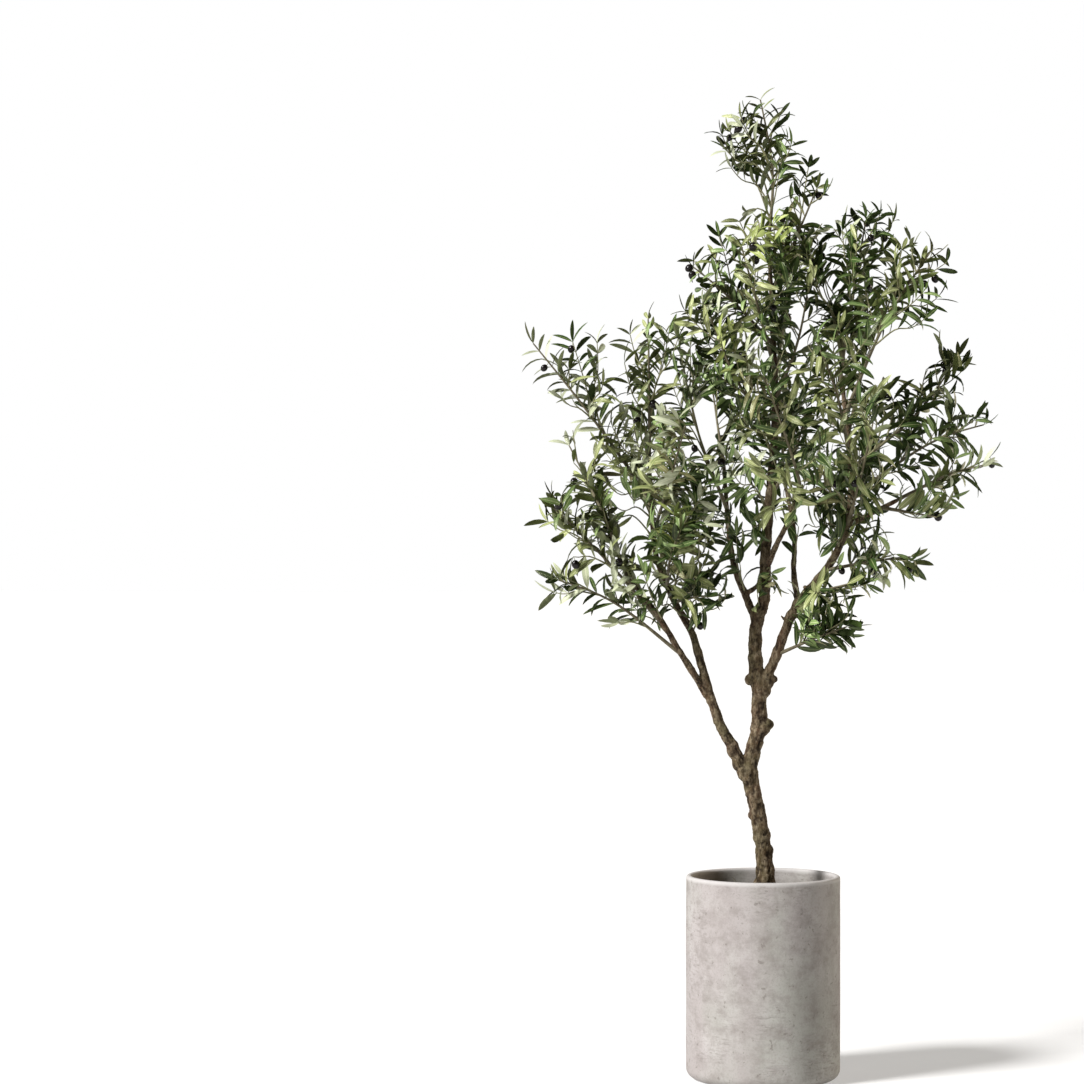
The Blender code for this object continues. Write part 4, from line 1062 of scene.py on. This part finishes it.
def grown_on(stem, spread, every, dice):
    """The twigs of a stem at the golden angle round it, each clear of limbs and openings."""
    whole = length_of(stem)
    count = round(whole * (1 - STEM_BARE) / every)
    turn = dice.uniform(0, 2 * math.pi)
    for i in range(count):
        place = STEM_BARE + (1 - STEM_BARE) * (i + TWIG_FIRST) / count
        start, along = point_at(stem, whole * place)
        length = spread * dice.uniform(*TWIG_VARIES) * (TWIG_LONGEST - TWIG_SHRINKS * place)
        length -= LEAF_LENGTH * TWIG_SHORT
        for attempt in range(TRIES):
            turn += math.radians(GOLDEN_ANGLE)
            side = along.orthogonal().normalized()
            outward = side * math.cos(turn) + along.cross(side) * math.sin(turn)
            outward.z = max(outward.z, LOWEST_TWIG)
            twig = twig_course(start, along, outward, max(length, TWIG_SHORTEST), dice)
            probes = twig[2:]
            free = not any(in_opening(p) for p in probes) and all(in_box(p) for p in probes)
            if free and clear_of_limbs(probes, LIMB_MARGIN):
                yield twig
                break


# Sprays: (course, share of it that bears no leaf). Each is a run of leaves on one wire.
sprays = []
carriers = dict(limb_courses)
woody = Tubes(8)
green = Tubes(6)
for name, (limb, share, _, _, spread, every) in FOLIAGE.items():
    carriers[name] = stem_course(name)
    foot = LIMBS[limb][2] * ON_TIP if share == 1.0 else STEM_FOOT
    woody.add(carriers[name], taper(carriers[name], foot, STEM_TIP))
    sprays.append((carriers[name], STEM_NO_LEAF))
    for twig in grown_on(carriers[name], spread, every, random.Random(f"twigs of {name}")):
        green.add(twig, taper(twig, TWIG_FOOT, TWIG_TIP))
        sprays.append((twig, TWIG_NO_LEAF))
for name, shoots in SHOOTS.items():
    for share, *reach in shoots:
        shoot = shoot_course(carriers[name], share, reach)
        while len(shoot) > 3 and in_opening(shoot[-1]):
            shoot.pop()
        if length_of(shoot) > TWIG_SHORTEST:
            green.add(shoot, taper(shoot, SHOOT_FOOT, SHOOT_TIP))
            sprays.append((shoot, SHOOT_NO_LEAF if name in FOLIAGE else LIMB_SHOOT_NO_LEAF))

stems = woody.piece("woody_stems")
smooth(stems, wire_skin("stem_coat", (0.075, 0.062, 0.036), (0.13, 0.112, 0.068), (0.21, 0.19, 0.12)), 60)
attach(stems, "root")
twigs = green.piece("green_twigs")
smooth(twigs, wire_skin("twig_coat", (0.10, 0.105, 0.045), (0.19, 0.185, 0.095), (0.32, 0.30, 0.18)), 60)
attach(twigs, "root")


# Leaves -------------------------------------------------------------------------------------------
# Printed cloth leaves on moulded midribs, stiff and slim, in opposite pairs with three at each tip.
# They arch back from the shoot, duller below and darker there with painted shade, and come in a few greens,
# one to a spray.

LEAF_WIDTH = 0.0106
LEAF_THICK = 0.0005
LEAF_STATIONS = (0.0, 0.05, 0.16, 0.34, 0.54, 0.74, 0.9)
LEAF_WIDTHS = (0.10, 0.16, 0.60, 0.93, 1.0, 0.80, 0.42)
LEAF_KEEL = 0.12
RIB_WIDTH = 0.07
RIB_RAISED = 0.00025
LEAF_SPACING = 0.0202
LEAF_LEAN = 44
LEAF_LEAN_VARIES = 9
LEAF_ROLLS = (12, 78)
LEAF_BENDS = (30, 100)
LEAF_TWISTS = 22
LEAF_SIZES = (0.75, 1.15)
LEAF_SLIMS = (0.75, 1.2)
SPRAY_TURN_VARIES = 38
PAIR_TURN_VARIES = 22
STANDS_UP = 0.4
LOW_LEAVES = 0.95
HIGH_LEAVES = 1.90
LEAF_SHINE = (1.0, 1.0, 0.76)
LEAF_CLEAR = 0.001
# Leaves are smaller towards their spray's tip and the top of the tree, slimmer there too, and a
# little larger out from its middle: from this distance, over this distance, by this share.
TIP_SHRINKS = 0.28
SIZE_LOW = 1.1
SIZE_FALLS = 0.13
SLIM_LOW = 1.08
SLIM_FALLS = 0.12
OUTER_FROM = 0.22
OUTER_OVER = 0.2
OUTER_GROWS = 0.10
# The last leaf of a spray points on along it and bends less, as do those just before it.
LAST_AHEAD = 3
LAST_BENDS = 0.4
BEND_EASES = 0.45
# Each leaf's base colour runs from DARKER times its green up to LIGHTER times it, but to no more
# than LIGHTER_BY above it.
DARKER = 0.36
LIGHTER = 1.9
LIGHTER_BY = 0.14
# Greens: (name, top, rib, underside, chance in the light, chance in the shade). The undersides' dark greens
# are painted shade.
GREENS = (
    ("deep", (0.030, 0.056, 0.013), (0.17, 0.22, 0.08), (0.020, 0.032, 0.008), 0.12, 0.50),
    ("olive", (0.190, 0.222, 0.080), (0.42, 0.44, 0.20), (0.058, 0.070, 0.022), 0.28, 0.22),
    ("mid", (0.124, 0.194, 0.062), (0.36, 0.43, 0.17), (0.050, 0.072, 0.020), 0.22, 0.21),
    ("grey", (0.395, 0.430, 0.270), (0.54, 0.56, 0.38), (0.135, 0.152, 0.080), 0.36, 0.06),
    ("brown", (0.170, 0.166, 0.070), (0.31, 0.29, 0.15), (0.072, 0.070, 0.030), 0.02, 0.01),
    ("young", (0.320, 0.385, 0.100), (0.50, 0.54, 0.26), (0.190, 0.240, 0.070), 0.0, 0.0),
)
# Sprays are dealt deeper greens, as painted shade, the nearer they are to the leader, and the further
# right they are: from SHADE_FROM left of the middle, over SHADE_OVER. Near the right edge and high up
# they are dealt paler greens again, as painted light.
CORE_X = 0.01
INNER_RADIUS = 0.16
SHADE_FROM = 0.25
SHADE_OVER = 0.4
EDGE_X = 0.20
EDGE_PALER = 3.6
PALE_HEIGHT = 1.45
TOP_PALER = 2.2
PALEST = -0.29
# A patch holds only for sprays that end in front of this y.
PATCH_BACK = 0.05
# Patches of one green, where a spray ends: x, z, radius and the green.
PATCHES = (
    (0.007, 1.674, 0.036, "young"),
    (0.001, 1.543, 0.022, "young"),
    (-0.068, 1.444, 0.026, "young"),
    (-0.165, 1.119, 0.028, "young"),
    (-0.320, 1.053, 0.022, "young"),
    # The deep patches low in the crown are painted shade.
    (0.155, 0.895, 0.055, "deep"),
    (0.095, 0.890, 0.040, "mid"),
    (-0.110, 0.950, 0.036, "deep"),
)


def leaf_face(name, colour, roughness, gloss, veins):
    """One side of a leaf: each leaf a little lighter or darker, clouded, with fine slanting veins."""
    made, tree, shader, where = new_finish(name, roughness, gloss)
    shader.inputs["Specular Tint"].default_value = (*LEAF_SHINE, 1)
    each = node(tree, "NewGeometry").outputs["Random Per Island"]
    darker = tuple(part * DARKER for part in colour)
    lighter = tuple(min(part * LIGHTER, part + LIGHTER_BY) for part in colour)
    base = ramp(tree, each, (0.05, darker), (0.52, colour), (1.0, lighter))
    cloud = grain(tree, where, 160.0, 3.0)
    base = blend(tree, ramp(tree, cloud, (0.4, (0.0,)), (0.75, (0.4,))), base, lighter)
    tree.links.new(base, shader.inputs["Base Color"])
    relief(tree, shader, grain(tree, where, veins, 2.0), 0.0005)
    return made


class Leaves:
    """Gathers the leaves of one green into one mesh."""

    def __init__(self):
        self.points = []
        self.faces = []
        self.kinds = []

    def add(self, root, heading, face, length, width, bend, twist):
        first = len(self.points)
        stations = len(LEAF_STATIONS)
        place = root.copy()
        past = 0.0
        for t, share in zip(LEAF_STATIONS, LEAF_WIDTHS):
            turn = bend * (past + t) / 2
            along = heading * math.cos(turn) - face * math.sin(turn)
            place = place + along * length * (t - past)
            normal = face * math.cos(bend * t) + heading * math.sin(bend * t)
            across = heading.cross(face)
            side = across * math.cos(twist * t) + normal * math.sin(twist * t)
            up = normal * math.cos(twist * t) - across * math.sin(twist * t)
            half = side * width / 2 * share
            keel = up * width * LEAF_KEEL * share
            rib = side * max(width * RIB_WIDTH * (1 - 0.6 * t), 0.0002)
            self.points += [
                place - half + keel,
                place - rib + up * RIB_RAISED,
                place + rib + up * RIB_RAISED,
                place + half + keel,
                place - up * LEAF_THICK,
            ]
            past = t
        turn = bend * (past + 1) / 2
        self.points.append(place + (heading * math.cos(turn) - face * math.sin(turn)) * length * (1 - past))
        tip = first + 5 * stations
        for i in range(stations):
            ring = first + 5 * i
            for k, kind in enumerate((0, 1, 0, 2, 2)):
                here, there = ring + k, ring + (k + 1) % 5
                if i < stations - 1:
                    self.faces.append((here, there, there + 5, here + 5))
                else:
                    self.faces.append((here, there, tip))
                self.kinds.append(kind)
        self.faces.append(tuple(range(first + 4, first - 1, -1)))
        self.kinds.append(2)

    def piece(self, name, finishes):
        mesh = bpy.data.meshes.new(name)
        mesh.from_pydata(self.points, [], self.faces)
        for finish in finishes:
            mesh.materials.append(finish)
        mesh.polygons.foreach_set("material_index", self.kinds)
        mesh.shade_smooth()
        mesh.set_sharp_from_angle(angle=math.radians(48))
        made = bpy.data.objects.new(name, mesh)
        everything.objects.link(made)
        return made


def comb_side(spray, along, turn):
    """The side a spray's leaves spread to, turned a little out of the upright plane through it."""
    level = spray[-1] - spray[0]
    rise = UP if math.hypot(level.x, level.y) > STANDS_UP * level.length else Vector((1, 0, 0))
    side = (rise - along * rise.dot(along)).normalized()
    return side * math.cos(turn) + along.cross(side) * math.sin(turn)


def leaf_direction(along, out, dice):
    """The way a leaf points from its twig and the way its blade faces."""
    lean = math.radians(LEAF_LEAN + dice.uniform(-LEAF_LEAN_VARIES, LEAF_LEAN_VARIES))
    heading = along * math.cos(lean) + out * math.sin(lean)
    face = along * math.sin(lean) - out * math.cos(lean)
    roll = math.radians(dice.uniform(*LEAF_ROLLS)) * dice.choice((-1, 1))
    return heading, face * math.cos(roll) + heading.cross(face) * math.sin(roll)


def green_of(spray, dice):
    """The green of a spray: that of its patch, or by chance, deeper inside and to the right as painted
    shade.
    """
    middle, tip = spray[len(spray) // 2], spray[-1]
    for x, z, radius, green in PATCHES:
        if (tip.x - x) ** 2 + (tip.z - z) ** 2 < radius**2 and tip.y < PATCH_BACK:
            return green
    inner = max(0.0, 1 - math.hypot(middle.x - CORE_X, middle.y) / INNER_RADIUS)
    shade = (middle.x + SHADE_FROM) / SHADE_OVER - max(0.0, middle.x - EDGE_X) * EDGE_PALER + inner
    shade = min(1.0, max(PALEST, shade - max(0.0, middle.z - PALE_HEIGHT) * TOP_PALER))
    chances = [light + (dark - light) * shade for *rest, light, dark in GREENS]
    return dice.choices([entry[0] for entry in GREENS], chances)[0]


def leave_out(blade):
    """Whether a leaf would show in an opening, reach past the box or touch a limb."""
    if any(in_opening(p) for p in blade[1:]) or not in_box(blade[-1]):
        return True
    return not clear_of_limbs(blade, LEAF_CLEAR)


gathered = {entry[0]: Leaves() for entry in GREENS}
for number, (spray, bare) in enumerate(sprays):
    dice = random.Random(f"leaves {number}")
    leaves = gathered[green_of(spray, dice)]
    whole = length_of(spray)
    pairs = max(1, round(whole * (1 - bare) / LEAF_SPACING))
    turn = math.radians(dice.gauss(0, SPRAY_TURN_VARIES))
    for i in range(pairs + 1):
        place = bare + (1 - bare) * i / pairs
        where, along = point_at(spray, whole * place)
        height = min(1.0, max(0.0, (where.z - LOW_LEAVES) / (HIGH_LEAVES - LOW_LEAVES)))
        out = (math.hypot(where.x, where.y) - OUTER_FROM) / OUTER_OVER
        outer = 1 + OUTER_GROWS * min(1.0, max(0.0, out))
        turn += math.radians(dice.uniform(-PAIR_TURN_VARIES, PAIR_TURN_VARIES))
        for half_turn in (0, math.pi) if i < pairs else (0, math.pi, None):
            size = dice.uniform(*LEAF_SIZES) * (1.0 - TIP_SHRINKS * place**4)
            size = size * (SIZE_LOW - SIZE_FALLS * height) * outer
            heading, face = leaf_direction(along, comb_side(spray, along, turn + (half_turn or 0)), dice)
            last = half_turn is None
            if last:
                heading = (along * LAST_AHEAD + heading).normalized()
                face = (face - heading * face.dot(heading)).normalized()
            length = LEAF_LENGTH * size
            width = LEAF_WIDTH * size**0.5 * dice.uniform(*LEAF_SLIMS)
            width = width * (SLIM_LOW - SLIM_FALLS * height)
            bend = math.radians(dice.uniform(*LEAF_BENDS))
            bend = bend * (LAST_BENDS if last else 1.0 - BEND_EASES * place**3)
            twist = math.radians(dice.uniform(-LEAF_TWISTS, LEAF_TWISTS))
            chord = heading * math.cos(bend / 2) - face * math.sin(bend / 2)
            blade = [where + chord * length * part for part in (0.25, 0.6, 1.0)]
            if not leave_out(blade):
                leaves.add(where, heading, face, length, width, bend, twist)

for name, top, rib, under, *_ in GREENS:
    finishes = [
        leaf_face(f"{name}_leaf_top", top, 0.28, 0.42, 700.0),
        # The rib's pale colour is partly its own and partly a painted highlight along the leaf.
        leaf_face(f"{name}_leaf_rib_and_highlight", rib, 0.45, 0.3, 500.0),
        leaf_face(f"{name}_leaf_underside_painted_shade", under, 0.62, 0.10, 500.0),
    ]
    piece = gathered[name].piece(f"{name}_leaves", finishes)
    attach(piece, "root")
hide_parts(*("foliage_" + name for name in FOLIAGE))


# Olives -------------------------------------------------------------------------------------------
# Hollow moulded olives, glossy and nearly black, wired on singly or in pairs by a short green stalk.

OLIVE_LENGTH = 0.0172
OLIVE_RADIUS = 0.0074
OLIVE_SIZES = (0.88, 1.08)
STALK_LENGTH = 0.007
STALK_RADIUS = 0.0006
OLIVE_STEPS = 20
OLIVE_RINGS = 12
OLIVE_DEPTH_COST = 0.12
# Where they show from the front: x and z.
OLIVES = (
    (0.110, 1.749), (0.035, 1.694), (0.190, 1.692), (0.213, 1.658), (0.251, 1.660), (0.098, 1.616),
    (0.105, 1.626), (0.005, 1.616), (-0.009, 1.605), (-0.127, 1.599), (-0.139, 1.581), (0.339, 1.563),
    (0.323, 1.551), (0.015, 1.507), (-0.131, 1.511), (-0.356, 1.474), (-0.024, 1.444), (0.366, 1.424),
    (0.364, 1.394), (-0.443, 1.388), (-0.120, 1.359), (0.261, 1.351), (-0.227, 1.339), (-0.211, 1.323),
    (-0.252, 1.297), (-0.096, 1.208), (0.453, 1.232), (-0.377, 1.174), (0.184, 1.168), (-0.399, 1.125),
    (0.087, 1.136), (0.340, 1.109), (-0.276, 1.033), (0.160, 1.015), (0.291, 1.006), (-0.389, 1.004),
    (0.200, 0.996), (0.142, 0.897), (-0.131, 0.893), (-0.032, 1.884), (-0.036, 1.872), (-0.074, 1.862),
)
BACK_OLIVES = 30


def ripe_skin():
    """Nearly black plastic skin with a faint purple bloom."""
    made, tree, shader, where = new_finish("ripe_skin", 0.18, 0.28)
    bloom = grain(tree, where, 140.0, 3.0)
    base = ramp(tree, bloom, (0.35, (0.005, 0.004, 0.004)), (0.75, (0.012, 0.008, 0.008)))
    tree.links.new(base, shader.inputs["Base Color"])
    relief(tree, shader, grain(tree, where, 420.0, 2.0), 0.0003, 0.4)
    return made


def plain_ball():
    """A ball's points and faces, sorted because Blender lists them in another order on each run."""
    shape = bmesh.new()
    bmesh.ops.create_uvsphere(shape, u_segments=OLIVE_STEPS, v_segments=OLIVE_RINGS, radius=1)
    shape.verts.index_update()
    points = [vert.co.copy() for vert in shape.verts]
    faces = sorted([vert.index for vert in face.verts] for face in shape.faces)
    shape.free()
    return points, faces


def hang_olive(points, faces, stalks, where, dice):
    """One olive below a twig, on its stalk."""
    heading = Vector((dice.gauss(0, 0.55), dice.gauss(0, 0.55), -1)).normalized()
    size = dice.uniform(*OLIVE_SIZES)
    middle = where + heading * (STALK_LENGTH + OLIVE_LENGTH * size * 0.48)
    turn = heading.to_track_quat("Z", "Y")
    first = len(points)
    for x, y, z in ball_points:
        narrow = 1 - 0.10 * max(z, 0) ** 2
        shaped = Vector((x * OLIVE_RADIUS * narrow, y * OLIVE_RADIUS * narrow, z * OLIVE_LENGTH / 2)) * size
        points.append(middle + turn @ shaped)
    faces.extend([first + corner for corner in face] for face in ball_faces)
    end = where + heading * (STALK_LENGTH + 0.001)
    stalks.add([where, where.lerp(end, 0.5) + Vector((0.0006, 0, 0)), end], [STALK_RADIUS] * 3)


def nearest_place(x, z, front):
    """The point on a spray nearest to where an olive shows, towards the front or the back."""
    best = None
    for spray, bare in sprays:
        for point in spray[len(spray) // 3 :]:
            cost = math.hypot(point.x - x, point.z - 0.012 - z) + OLIVE_DEPTH_COST * front * point.y
            if best is None or cost < best[0]:
                best = (cost, point)
    return best[1]


ball_points, ball_faces = plain_ball()
olive_points = []
olive_faces = []
olive_stalks = Tubes(5)
dice = random.Random(31)
for x, z in OLIVES:
    hang_olive(olive_points, olive_faces, olive_stalks, nearest_place(x, z, 1), dice)
for number in range(BACK_OLIVES):
    spray = sprays[dice.randrange(len(sprays))][0]
    for attempt in range(200):
        if spray[-1].y > 0.03:
            break
        spray = sprays[dice.randrange(len(sprays))][0]
    hang_olive(olive_points, olive_faces, olive_stalks, spray[len(spray) * 2 // 3], dice)
olive_mesh = bpy.data.meshes.new("olives")
olive_mesh.from_pydata(olive_points, [], olive_faces)
olives = bpy.data.objects.new("olives", olive_mesh)
everything.objects.link(olives)
smooth(olives, ripe_skin(), 180)
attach(olives, "root")
stalks = olive_stalks.piece("olive_stalks")
smooth(stalks, wire_skin("stalk_coat", (0.14, 0.16, 0.05), (0.22, 0.24, 0.09), (0.33, 0.34, 0.16)), 60)
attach(stalks, "root")


# Floor, lights and camera -------------------------------------------------------------------------
# A plain pale floor in a bright room, lit softly from the left and the front, with a warm bounce
# from behind on the right.

CAMERA_PAN = 3.98
CAMERA_LENS = 105.5
FLOOR_GLOW = 0.36
FLOOR_REACH = 60
FLOOR_DROP = 0.0005


def pale_floor():
    made, tree, shader, where = new_finish("pale_floor", 0.9, 0.2)
    tone = grain(tree, where, 3.0, 3.0)
    base = ramp(tree, tone, (0.3, (0.56, 0.558, 0.555)), (0.7, (0.59, 0.588, 0.585)))
    tree.links.new(base, shader.inputs["Base Color"])
    shader.inputs["Emission Color"].default_value = (1, 1, 1, 1)
    shader.inputs["Emission Strength"].default_value = FLOOR_GLOW
    return made


def soft_sun(name, place, strength, spread, colour):
    """Parallel light from a place towards the middle of the scene, softened over an angle."""
    data = bpy.data.lights.new(name, "SUN")
    data.energy = strength
    data.angle = math.radians(spread)
    data.color = colour
    made = bpy.data.objects.new(name, data)
    made.location = place
    made.rotation_euler = Vector(place).to_track_quat("Z", "Y").to_euler()
    everything.objects.link(made)


def bright_room():
    """A world that is white to look at and dimmer as light, brightest at the back and the left."""
    world = bpy.data.worlds.new("bright_room")
    bpy.context.scene.world = world
    world.use_nodes = True
    tree = world.node_tree
    tree.nodes.clear()
    way = node(tree, "SeparateXYZ", {0: node(tree, "TexCoord").outputs["Generated"]})
    across = ramp(tree, node(tree, "MapRange", {0: way.outputs[0], 1: -1.0, 2: 1.0}).outputs[0],
                  (0.0, (0.20, 0.195, 0.185)), (0.35, (0.19, 0.185, 0.175)),
                  (0.55, (0.12, 0.106, 0.086)), (0.85, (0.046, 0.033, 0.018)))
    along = ramp(tree, node(tree, "MapRange", {0: way.outputs[1], 1: -1.0, 2: 1.0}).outputs[0],
                 (0.6, (0.0,)), (0.95, (1.0,)))
    light = blend(tree, along, across, (0.30, 0.29, 0.27))
    soft = node(tree, "Background", {"Color": light, "Strength": 1.0})
    seen = node(tree, "Background", {"Color": (1, 1, 1, 1), "Strength": 1.0})
    ray = node(tree, "LightPath").outputs["Is Camera Ray"]
    mixed = node(tree, "MixShader", {0: ray, 1: soft.outputs[0], 2: seen.outputs[0]})
    node(tree, "OutputWorld", {0: mixed.outputs[0]})


floor_mesh = bpy.data.meshes.new("floor")
corners = [(x * FLOOR_REACH, y * FLOOR_REACH, 0) for x, y in ((-1, -1), (1, -1), (1, 1), (-1, 1))]
floor_mesh.from_pydata(corners, [], [(0, 1, 2, 3)])
floor = bpy.data.objects.new("floor", floor_mesh)
floor_mesh.materials.append(pale_floor())
floor.location.z = -FLOOR_DROP
everything.objects.link(floor)

bright_room()
soft_sun("key_light", (-3.6, -2.6, 3.2), 5.7, 14, (0.995, 0.99, 0.985))
soft_sun("wall_bounce", (3.6, 2.4, 1.2), 1.2, 25, (1.0, 0.86, 0.68))

camera_data = bpy.data.cameras.new("camera")
camera_data.lens = CAMERA_LENS
camera_data.sensor_width = 36
camera = bpy.data.objects.new("camera", camera_data)
camera.location = CAMERA_PLACE
camera.rotation_euler = (math.radians(90), 0, math.radians(CAMERA_PAN))
everything.objects.link(camera)
bpy.context.scene.camera = camera
bpy.context.scene.view_settings.view_transform = "Standard"
